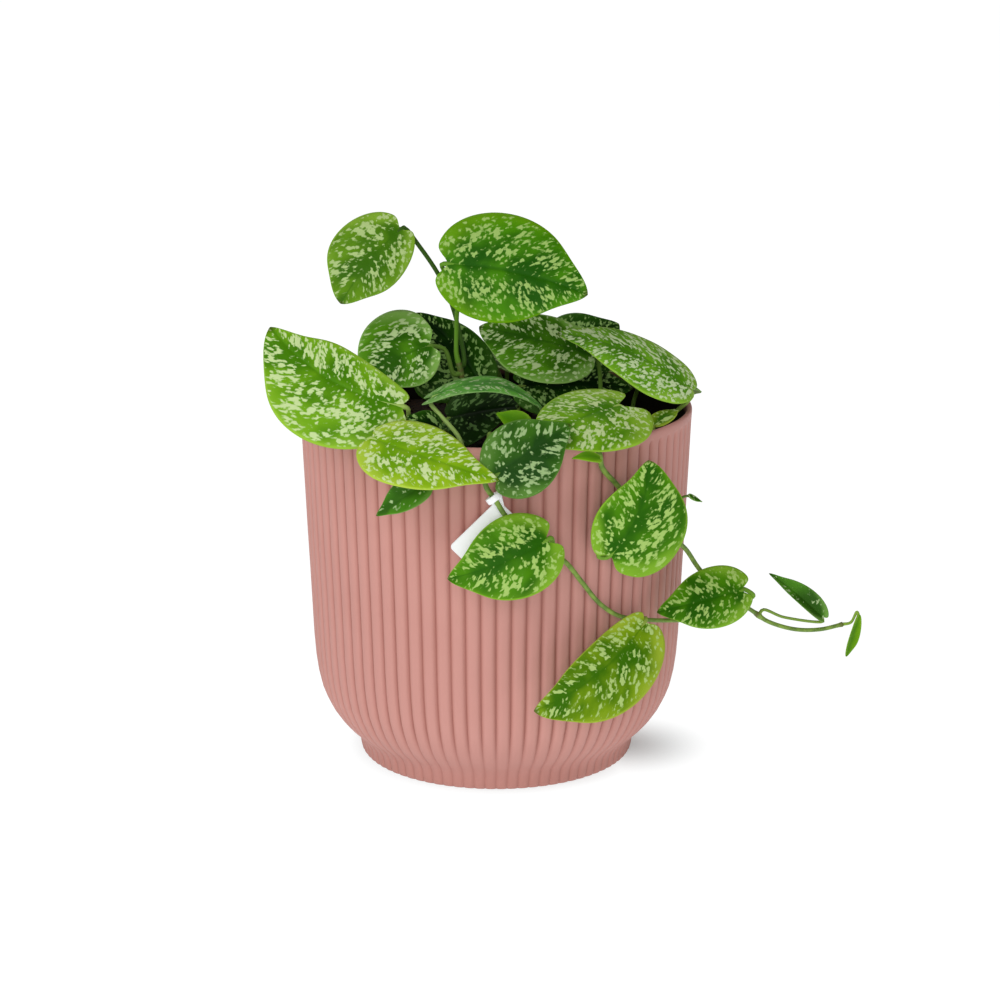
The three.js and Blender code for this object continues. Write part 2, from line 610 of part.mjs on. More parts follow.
/** The label: a bare plate on its corner, with a loop round the front vine. */
function labelGeometry() {
  const halfWidth = LABEL_WIDTH / 2;
  const halfHeight = LABEL_HEIGHT / 2;
  const shape = new THREE.Shape();
  shape.moveTo(halfWidth - LABEL_TAB_WIDTH, halfHeight);
  const corners = [[-1, 1], [-1, -1], [1, -1]];
  corners.forEach(([x, y], index) => {
    const centreX = x * (halfWidth - LABEL_CORNER);
    const centreY = y * (halfHeight - LABEL_CORNER);
    const start = (Math.PI / 2) * (index + 1);
    shape.absarc(centreX, centreY, LABEL_CORNER, start, start + Math.PI / 2, false);
  });
  shape.lineTo(halfWidth, halfHeight - LABEL_TAB_WIDTH);
  shape.lineTo(halfWidth + LABEL_TAB_REACH, halfHeight + LABEL_TAB_SET);
  shape.lineTo(halfWidth + LABEL_TAB_SET, halfHeight + LABEL_TAB_REACH);
  const settings = { depth: LABEL_THICKNESS, bevelEnabled: false, curveSegments: 3 };
  const plate = new THREE.ExtrudeGeometry(shape, settings);
  plate.translate(0, 0, -LABEL_THICKNESS / 2);
  plate.rotateZ(Math.PI / 4).rotateX(Math.PI / 2).translate(...LABEL_CENTRE);
  const inner = STEM_RADIUS + LABEL_RING_PLAY;
  const outer = inner + LABEL_RING_WALL;
  const end = LABEL_RING_HEIGHT / 2;
  const corner = (x, y) => new THREE.Vector2(x, y);
  const section = [corner(inner, -end), corner(outer, -end), corner(outer, end), corner(inner, end)];
  const ring = new THREE.LatheGeometry([...section, section[0]], LABEL_RING_SIDES);
  const curve = stemCurves.vine_front;
  const heading = curve.getTangentAt(LABEL_RING_SHARE);
  const turn = new THREE.Quaternion().setFromUnitVectors(new THREE.Vector3(0, 1, 0), heading);
  ring.applyQuaternion(turn).translate(...curve.getPointAt(LABEL_RING_SHARE));
  return geometryOf(solid(plate).add(solid(ring)));
}

// ---------------------------------------------------------------- the model

const model = new THREE.Group();

/** Adds a piece to the model under its name. */
function place(name, geometry, material) {
  const mesh = new THREE.Mesh(geometry, material);
  mesh.name = name;
  model.add(mesh);
}

/** A material of a colour and a roughness, without metal. */
const finish = (color, roughness) => new THREE.MeshStandardMaterial({ color, roughness });

place('pot', potGeometry(), finish('#cd948c', 0.55));
place('soil', soilGeometry(), finish('#3a2a1e', 1));
place('label', labelGeometry(), finish('#f4f4f2', 0.4));

for (const [name, leaf] of Object.entries(LEAVES)) {
  place(name, leafGeometry(leaf), finish('#4f8f2a', 0.5));
}

for (const name of Object.keys(STEMS)) {
  place(name, stemGeometry(name), finish('#6f9a3c', 0.6));
}

export default model;
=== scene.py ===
"""Satin pothos in a fluted cover pot: the finished surfaces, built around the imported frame.

The tables and sizes below are in millimetres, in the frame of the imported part: Z is up and the
origin is the centre of the pot's underside. Meshes are written in metres.
"""

from __future__ import annotations

import logging
import math
from collections.abc import Iterable, Sequence
from dataclasses import dataclass, field
from enum import Enum

import bpy
import numpy as np
from mathutils import Euler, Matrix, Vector, noise

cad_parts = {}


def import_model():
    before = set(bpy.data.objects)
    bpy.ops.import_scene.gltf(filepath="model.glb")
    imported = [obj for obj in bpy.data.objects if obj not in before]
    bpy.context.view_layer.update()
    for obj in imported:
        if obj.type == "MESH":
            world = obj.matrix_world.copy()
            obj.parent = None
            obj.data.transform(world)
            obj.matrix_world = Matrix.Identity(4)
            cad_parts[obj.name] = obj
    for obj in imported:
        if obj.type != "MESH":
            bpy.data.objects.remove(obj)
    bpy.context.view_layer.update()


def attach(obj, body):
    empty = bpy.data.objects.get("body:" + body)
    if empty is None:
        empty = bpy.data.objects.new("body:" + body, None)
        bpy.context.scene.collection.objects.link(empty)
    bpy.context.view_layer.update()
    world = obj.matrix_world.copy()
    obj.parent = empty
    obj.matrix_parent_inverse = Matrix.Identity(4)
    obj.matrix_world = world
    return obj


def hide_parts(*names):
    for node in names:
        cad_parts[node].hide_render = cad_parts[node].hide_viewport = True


LOG = logging.getLogger("pothos")

# A millimetre in metres, a length that counts as none, and the way from one seed's noise to the next's.
MM = 0.001
TINY = 1e-6
SEED_STEP = (7.3, 3.1, 1.0)

BODY = "root"

Pair = tuple[float, float]
Triple = tuple[float, float, float]
Point = Triple
Colour = Triple


# ------------------------------------------------------------------------------------ node graphs


class Wire:
    """An output of a node graph that takes part in arithmetic."""

    def __init__(self, graph: "Graph", socket: bpy.types.NodeSocket) -> None:
        """Wraps a socket.

        Args:
            graph: the graph that the socket belongs to.
            socket: the output socket.
        """
        self.graph = graph
        self.socket = socket

    def __add__(self, other: "Wire | float") -> "Wire":
        """This value plus another."""
        return self.graph.maths("ADD", self, other)

    def __radd__(self, other: float) -> "Wire":
        """A number plus this value."""
        return self.graph.maths("ADD", other, self)

    def __sub__(self, other: "Wire | float") -> "Wire":
        """This value minus another."""
        return self.graph.maths("SUBTRACT", self, other)

    def __rsub__(self, other: float) -> "Wire":
        """A number minus this value."""
        return self.graph.maths("SUBTRACT", other, self)

    def __mul__(self, other: "Wire | float") -> "Wire":
        """This value times another."""
        return self.graph.maths("MULTIPLY", self, other)

    def __rmul__(self, other: float) -> "Wire":
        """A number times this value."""
        return self.graph.maths("MULTIPLY", other, self)

    def __truediv__(self, other: "Wire | float") -> "Wire":
        """This value over another."""
        return self.graph.maths("DIVIDE", self, other)

    def __pow__(self, other: "Wire | float") -> "Wire":
        """This value to a power."""
        return self.graph.maths("POWER", self, other)

    def __gt__(self, other: "Wire | float") -> "Wire":
        """One where this value is above another, and nought elsewhere."""
        return self.graph.maths("GREATER_THAN", self, other)


class Graph:
    """A node tree, for a material or for geometry, that is written as expressions."""

    def __init__(self, tree: bpy.types.NodeTree) -> None:
        """Wraps a node tree.

        Args:
            tree: the tree that new nodes go into.
        """
        self.tree = tree

    def node(self, kind: str, settings: dict | None = None, values: dict | None = None) -> bpy.types.Node:
        """Adds a node.

        Args:
            kind: the node's type name.
            settings: properties to set first.
            values: what its inputs hold, by name or index: a number, a vector or a Wire.

        Returns:
            The new node.
        """
        made = self.tree.nodes.new(kind)
        for name, value in (settings or {}).items():
            setattr(made, name, value)
        for name, value in (values or {}).items():
            if isinstance(value, Wire):
                self.tree.links.new(value.socket, made.inputs[name])
            else:
                made.inputs[name].default_value = value
        return made

    def wire(self, kind: str, settings: dict | None = None, values: dict | None = None,
             output: str | int = 0) -> Wire:
        """Adds a node and gives one of its outputs.

        Args:
            kind: the node's type name.
            settings: properties to set first.
            values: what its inputs hold.
            output: the name or index of the output that is wanted.

        Returns:
            The output.
        """
        return Wire(self, self.node(kind, settings, values).outputs[output])

    def maths(self, operation: str, *values: "Wire | float") -> Wire:
        """Adds a Math node on one to three values."""
        return self.wire("ShaderNodeMath", {"operation": operation}, dict(enumerate(values)))

    def length(self, vector: Wire) -> Wire:
        """Gives the length of a vector."""
        return self.wire("ShaderNodeVectorMath", {"operation": "LENGTH"}, {0: vector}, 1)

    def scale(self, vector: Wire, size: "Wire | float") -> Wire:
        """Makes a vector longer or shorter."""
        return self.wire("ShaderNodeVectorMath", {"operation": "SCALE"}, {0: vector, "Scale": size})

    def combine(self, x: "Wire | float", y: "Wire | float", z: "Wire | float") -> Wire:
        """Makes a vector of three values."""
        return self.wire("ShaderNodeCombineXYZ", values={0: x, 1: y, 2: z})

    def split(self, vector: Wire) -> tuple[Wire, Wire, Wire]:
        """Gives the three values of a vector."""
        made = self.node("ShaderNodeSeparateXYZ", values={0: vector})
        return Wire(self, made.outputs[0]), Wire(self, made.outputs[1]), Wire(self, made.outputs[2])

    def step(self, value: Wire, low: float, high: float, start: float = 0.0, end: float = 1.0) -> Wire:
        """A smooth step from start to end while a value goes from low to high.

        Args:
            value: the value that is read.
            low: where the step starts.
            high: where it ends.
            start: the result below low.
            end: the result above high.

        Returns:
            The stepped value.
        """
        settings = {"interpolation_type": "SMOOTHSTEP"}
        return self.wire("ShaderNodeMapRange", settings, {0: value, 1: low, 2: high, 3: start, 4: end})

    def fade(self, value: Wire, low: float, high: float, start: float = 1.0) -> Wire:
        """A smooth fall from start to nought while a value goes from low to high."""
        return self.step(value, low, high, start, 0.0)

    def mix(self, share: "Wire | float", first: "Wire | Colour", second: "Wire | Colour") -> Wire:
        """Blends two colours.

        Args:
            share: nought for the first colour, one for the second.
            first: a colour, as a Wire or as red, green and blue.
            second: the other colour.

        Returns:
            The blended colour.
        """
        settings = {"data_type": "RGBA"}
        return self.wire("ShaderNodeMix", settings, {0: share, 6: rgba(first), 7: rgba(second)}, 2)

    def noise(self, place: Wire, scale: float, detail: float = 2.0, roughness: float = 0.5,
              warp: float = 0.0) -> Wire:
        """Cloudy noise from nought to one, round a mean of a half.

        Args:
            place: where it is read.
            scale: how fine its clouds are, in waves for each unit of the place.
            detail: how many finer layers lie over them.
            roughness: how strong the finer layers are.
            warp: how much the clouds are bent.

        Returns:
            The noise.
        """
        return self.wire("ShaderNodeTexNoise", values={
            "Vector": place, "Scale": scale, "Detail": detail, "Roughness": roughness, "Distortion": warp})


def rgba(colour: "Wire | Sequence[float]") -> "Wire | tuple[float, ...]":
    """A colour with its alpha, or the Wire as it is."""
    return colour if isinstance(colour, Wire) else (*colour, 1.0)


class Recipe(Graph):
    """A geometry node tree with named inputs, which is run once for each piece."""

    def __init__(self, name: str, inputs: dict[str, str]) -> None:
        """Makes an empty tree with its inputs.

        Args:
            name: the tree's name.
            inputs: kind of socket by name, besides the geometry and the material.
        """
        super().__init__(bpy.data.node_groups.new(name, "GeometryNodeTree"))
        face = self.tree.interface
        for label, kind in {"Geometry": "Geometry", **inputs, "Material": "Material"}.items():
            face.new_socket(label, in_out="INPUT", socket_type=f"NodeSocket{kind}")
        face.new_socket("Geometry", in_out="OUTPUT", socket_type="NodeSocketGeometry")
        self.start = self.node("NodeGroupInput")

    def given(self, name: str) -> Wire:
        """The value of a named input."""
        return Wire(self, self.start.outputs[name])

    def attribute(self, name: str) -> Wire:
        """A number that the mesh keeps under a name."""
        return self.wire("GeometryNodeInputNamedAttribute", {"data_type": "FLOAT"}, {"Name": name})

    def keep(self, geometry: Wire, name: str, value: Wire) -> Wire:
        """Stores a value under a name on the points of a geometry."""
        values = {"Geometry": geometry, "Name": name, "Value": value}
        return self.wire("GeometryNodeStoreNamedAttribute", {"data_type": "FLOAT"}, values)

    def join(self, *geometries: Wire) -> Wire:
        """Puts geometries together.

        Args:
            geometries: the geometries, whose parts keep this order.

        Returns:
            The joined geometry.
        """
        made = self.node("GeometryNodeJoinGeometry")
        for geometry in reversed(geometries):
            self.tree.links.new(geometry.socket, made.inputs[0])
        return Wire(self, made.outputs[0])

    def finish(self, geometry: Wire) -> None:
        """Ends the tree: the instances are made real and the given material is set.

        Args:
            geometry: what the tree has built.
        """
        real = self.wire("GeometryNodeRealizeInstances", values={0: geometry})
        values = {"Geometry": real, "Material": self.given("Material")}
        self.node("NodeGroupOutput", values={0: self.wire("GeometryNodeSetMaterial", values=values)})

    def run(self, mesh: bpy.types.Mesh, name: str, finish: bpy.types.Material,
            values: dict[str, float]) -> bpy.types.Object:
        """Runs the tree on a mesh and gives the result as an object with a plain mesh.

        Args:
            mesh: the mesh that the tree starts from.
            name: the finished object's name.
            finish: its material.
            values: what the tree's other named inputs hold.

        Returns:
            The finished object, with no modifier left on it.
        """
        made = add_object(name, mesh)
        modifier = made.modifiers.new(self.tree.name, "NODES")
        modifier.node_group = self.tree
        held = {**values, "Material": finish}
        for item in self.tree.interface.items_tree:
            if item.in_out == "INPUT" and item.name in held:
                modifier[item.identifier] = held[item.name]
        seen = made.evaluated_get(bpy.context.evaluated_depsgraph_get())
        final = bpy.data.meshes.new_from_object(seen)
        made.modifiers.clear()
        made.data = final
        final.name = name
        bpy.data.meshes.remove(mesh)
        return made


# ----------------------------------------------------------------------------------- mesh helpers


def add_object(name: str, mesh: bpy.types.Mesh) -> bpy.types.Object:
    """Puts a mesh into the scene as an object at the origin.

    Args:
        name: the object's name.
        mesh: its mesh, in metres.

    Returns:
        The object.
    """
    made = bpy.data.objects.new(name, mesh)
    bpy.context.scene.collection.objects.link(made)
    return made


def build_mesh(name: str, points: np.ndarray, faces: Iterable[Sequence[int]],
               edges: Iterable[Sequence[int]] = ()) -> bpy.types.Mesh:
    """Makes a smooth-shaded mesh.

    Args:
        name: the mesh's name.
        points: its corners in millimetres.
        faces: corner numbers of each face.
        edges: corner numbers of each loose edge.

    Returns:
        The mesh, in metres.
    """
    mesh = bpy.data.meshes.new(name)
    mesh.from_pydata((points * MM).tolist(), list(edges), list(faces))
    mesh.shade_smooth()
    return mesh


def store(mesh: bpy.types.Mesh, name: str, values: np.ndarray) -> None:
    """Keeps one number or one vector for each corner of a mesh.

    Args:
        mesh: the mesh.
        name: the name that they are kept under.
        values: the numbers, or the vectors in rows.
    """
    flat = np.ascontiguousarray(values, dtype=np.float32)
    kind, key = ("FLOAT_VECTOR", "vector") if flat.ndim == 2 else ("FLOAT", "value")
    mesh.attributes.new(name, kind, "POINT").data.foreach_set(key, flat.ravel())


def grid_faces(rows: int, columns: int, first: int = 0, closed: bool = False,
               flip: bool = False) -> list[tuple[int, int, int, int]]:
    """The faces of a grid of corners that is stored row by row.

    Args:
        rows: how many rows of corners it has.
        columns: how many corners each row has.
        first: the number of its first corner.
        closed: whether each row's end joins its start.
        flip: whether the faces turn the other way.

    Returns:
        Four corner numbers for each face.
    """
    faces = []
    for row in range(rows - 1):
        for column in range(columns if closed else columns - 1):
            beside = (column + 1) % columns
            low, high = first + row * columns, first + (row + 1) * columns
            face = (low + column, low + beside, high + beside, high + column)
            faces.append(face[::-1] if flip else face)
    return faces


def full_turn(count: int) -> np.ndarray:
    """Angles in equal steps, once round."""
    return np.arange(count) * math.tau / count


def unit(vector: np.ndarray) -> np.ndarray:
    """A vector, or each row of vectors, at length one."""
    return vector / np.linalg.norm(vector, axis=-1, keepdims=True)


def wobble(place: np.ndarray, seed: float, size: float) -> float:
    """Smooth noise between about -1 and 1 at a place.

    Args:
        place: where it is read, in millimetres.
        seed: what sets one reading apart from another.
        size: how wide its bumps are, in millimetres.

    Returns:
        The noise.
    """
    return noise.noise(Vector(place) / size + Vector([seed * step for step in SEED_STEP]))


class Route:
    """A smooth line through points, which is read by shares of its length.

    Attributes:
        SAMPLES: places that are worked out between two of its points.
        GLANCE: how far ahead and back the line is read for its direction, in millimetres.
        line: the places.
        reach: how far along the line each place is.
        length: its length.
    """

    SAMPLES = 24
    GLANCE = 0.5

    def __init__(self, points: Sequence[Sequence[float]]) -> None:
        """Lays the line.

        Args:
            points: the points that it passes, in millimetres.
        """
        knots = np.array(points, float)
        before, after = 2 * knots[0] - knots[1], 2 * knots[-1] - knots[-2]
        knots = np.vstack([before, knots, after])
        pieces = [self._piece(*four) for four in zip(knots, knots[1:], knots[2:], knots[3:])]
        self.line = np.vstack([*pieces, knots[-2:-1]])
        steps = np.linalg.norm(np.diff(self.line, axis=0), axis=1)
        self.reach = np.concatenate([[0.0], np.cumsum(steps)])
        self.length = float(self.reach[-1])

    @classmethod
    def _piece(cls, before: np.ndarray, start: np.ndarray, end: np.ndarray,
               after: np.ndarray) -> np.ndarray:
        """The line between two knots, by the centripetal Catmull-Rom rule.

        Args:
            before: the knot before the first.
            start: the first knot.
            end: the second knot.
            after: the knot after the second.

        Returns:
            Places from the first knot on, without the second.
        """
        came, gap, left = [math.sqrt(max(np.linalg.norm(b - a), TINY))
                           for a, b in ((before, start), (start, end), (end, after))]
        leave = (start - before) / came - (end - before) / (came + gap) + (end - start) / gap
        arrive = (end - start) / gap - (after - start) / (gap + left) + (after - end) / left
        leave, arrive = leave * gap, arrive * gap
        t = np.linspace(0, 1, cls.SAMPLES, endpoint=False)[:, None]
        square, cube = t * t, t * t * t
        return (start + leave * t + (3 * (end - start) - 2 * leave - arrive) * square
                + (leave + arrive - 2 * (end - start)) * cube)

    def at(self, share: "float | np.ndarray") -> np.ndarray:
        """The points at shares of the length."""
        distance = np.asarray(share, float) * self.length
        return np.stack([np.interp(distance, self.reach, self.line[:, axis]) for axis in range(3)], -1)

    def heading(self, share: float) -> np.ndarray:
        """The direction of the line at a share of its length."""
        step = self.GLANCE / self.length
        return unit(self.at(min(share + step, 1.0)) - self.at(max(share - step, 0.0)))


# ------------------------------------------------------------------------------- colours and tones


def linear(code: str) -> Colour:
    """A colour from its hex digits.

    Args:
        code: six hex digits, as a screen shows them.

    Returns:
        Linear red, green and blue.
    """
    values = (int(code[start:start + 2], 16) / 255 for start in (0, 2, 4))
    red, green, blue = (value / 12.92 if value < 0.04045 else ((value + 0.055) / 1.055) ** 2.4
                        for value in values)
    return red, green, blue


@dataclass(frozen=True)
class LeafTone:
    """Colours of one kind of leaf, as hex digits, and how much of it is silvered.

    Attributes:
        deep: the darker green, by the midrib.
        light: the lighter green, farther out.
        rim: the margin, and the ears by the notch.
        silver: the flecks.
        under: the underside.
        stalk: the leaf stalk.
        cover: how much more of the blade is silvered than is usual; less is plainer.
    """

    deep: str
    light: str
    rim: str
    silver: str
    under: str
    stalk: str
    cover: float


class Tone(Enum):
    """The kinds of leaf on the plant: their own greens by age, and painted light and shade in some."""

    RICH = LeafTone("1c5401", "448403", "6ca20c", "9abc66", "5f8630", "62902c", -0.02)
    PALE = LeafTone("386908", "609014", "88b238", "acc680", "7a9a4c", "3c5e20", 0.0)
    # Painted light: greens lightened for a leaf that the light falls on.
    SUNLIT = LeafTone("4c8a0e", "70b020", "98c840", "d2eab4", "82a452", "86a848", 0.04)
    FRESH = LeafTone("245c02", "488406", "8cbc34", "a4c66a", "6f933a", "6f9a34", -0.01)
    DEEP = LeafTone("2a5d06", "579414", "94c264", "bcd698", "5f8238", "5d7f31", -0.005)
    MUTED = LeafTone("1a420c", "386816", "5e8a3a", "98b67c", "4c6c2e", "5d7f31", -0.02)
    # Painted light: greens and stalk lightened for a leaf in shade.
    INNER = LeafTone("3c7e28", "62b03c", "8cba6c", "b8d29c", "44632a", "a8c870", -0.06)
    # Painted shade: greens darkened for a leaf deep in shade, with its stalk painted lighter.
    DIM = LeafTone("061c02", "163604", "2c4c18", "5c7e46", "304820", "7c9a44", -0.06)
    # Painted shade: greens darkened for leaves in shade, with their stalks painted lighter.
    SHADE = LeafTone("082502", "214e06", "467624", "90b868", "40602a", "7c9a44", -0.02)
    # Painted light: greens lightened for leaves that the light falls on.
    BRIGHT = LeafTone("437d06", "70a816", "9ac63c", "c6de9c", "86a64c", "a0c060", 0.02)
    # A young leaf's yellower green, lightened further with painted light.
    YOUNG = LeafTone("6aa109", "94c01c", "b6d448", "d2e8a6", "9cb85c", "b2cf74", 0.02)
    GOLDEN = LeafTone("386c04", "789c12", "a8bf3b", "aecb78", "7c9040", "8ca444", -0.04)
    BACK = LeafTone("2e5c12", "4c8a1e", "7aa850", "a8c48c", "5c8040", "7c9a44", -0.2)
    PLAIN = LeafTone("4b8409", "6ba012", "8cba30", "a8c860", "7a9c3c", "8cb044", -0.6)


# ------------------------------------------------------------------------------------- plant tables


@dataclass(frozen=True)
class OnStem:
    """Where a leaf grows on a stem: the stem's name and a share of its length."""

    stem: str
    share: float


@dataclass(frozen=True)
class InSoil:
    """Where a leaf comes up from the soil, in millimetres."""

    x: float
    y: float


@dataclass(frozen=True)
class Stem:
    """One stem, in millimetres.

    Attributes:
        name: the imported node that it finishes.
        root: where it comes up from the soil.
        route: the points that it passes after that.
    """

    name: str
    root: InSoil
    route: tuple[Point, ...]


@dataclass(frozen=True)
class Leaf:
    """One leaf, in millimetres.

    Attributes:
        name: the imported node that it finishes.
        root: where its stalk starts.
        base: the notch of the blade, where the stalk meets it.
        tip: the point of the blade.
        face: the way its upper side looks.
        width: its full width.
        lobe: how far its two ears reach back past the notch.
        taper: how far the widest place is moved towards the notch.
        tone: its colours.
        via: points that the stalk passes.
        arch: how high the midrib lifts in the middle.
        bow: how far the midrib swings to the right.
        cup: how far the margins lift.
        fold: how far the margins lift in a V.
        lean: how much wider the right half is than the left, as a share.
        full: above 1, the halves are fuller towards notch and tip.
    """

    name: str
    root: OnStem | InSoil
    base: Point
    tip: Point
    face: Point
    width: float
    lobe: float
    taper: float
    tone: Tone
    via: tuple[Point, ...] = ()
    arch: float = 1.0
    bow: float = 0.0
    cup: float = -1.0
    fold: float = 0.0
    lean: float = 0.0
    full: float = 1.0


STEMS = (
    Stem("stem_crown", InSoil(-12, -8), ((-12, -8, 128), (-12.2, -8, 140), (-13.5, -8, 146))),
    Stem("vine_front", InSoil(-2, -50), (
        (-2.5, -56, 127), (-2, -64, 132.4), (-2, -70, 132), (-2.8, -74, 126), (-3.5, -75, 118),
        (0, -75.6, 112.5), (3.5, -75.8, 107), (9, -75.4, 102), (16, -74.8, 96), (23.2, -70.5, 90),
        (29, -67.5, 82), (35, -63.5, 73.5), (42, -58.6, 67.3), (52, -51, 63.4), (63, -44, 61),
        (72, -39.5, 60),
    )),
    Stem("vine_right", InSoil(24, -46), (
        (26, -52, 126), (28.5, -58, 130.9), (31.8, -63.8, 130.9), (34.5, -67, 126.5),
        (35.5, -66, 121.5), (40, -63, 115.5), (46, -59, 108), (52.6, -53.5, 100), (60, -45.5, 92),
        (66, -39, 85.5), (72, -34, 76), (82.5, -30, 65.6), (91.4, -27, 59), (97, -25, 54.6),
        (107, -23, 51), (116, -22, 50.6), (125, -20.5, 52.2),
    )),
    Stem("vine_back", InSoil(-18, 44), (
        (-20, 52, 127), (-22, 60, 132.6), (-24, 66, 132.8), (-26, 70.5, 127), (-27.5, 71, 117),
        (-31, 69, 104), (-36, 65.5, 92), (-38, 63.5, 80), (-34, 65.5, 66), (-27, 68.5, 54),
    )),
)

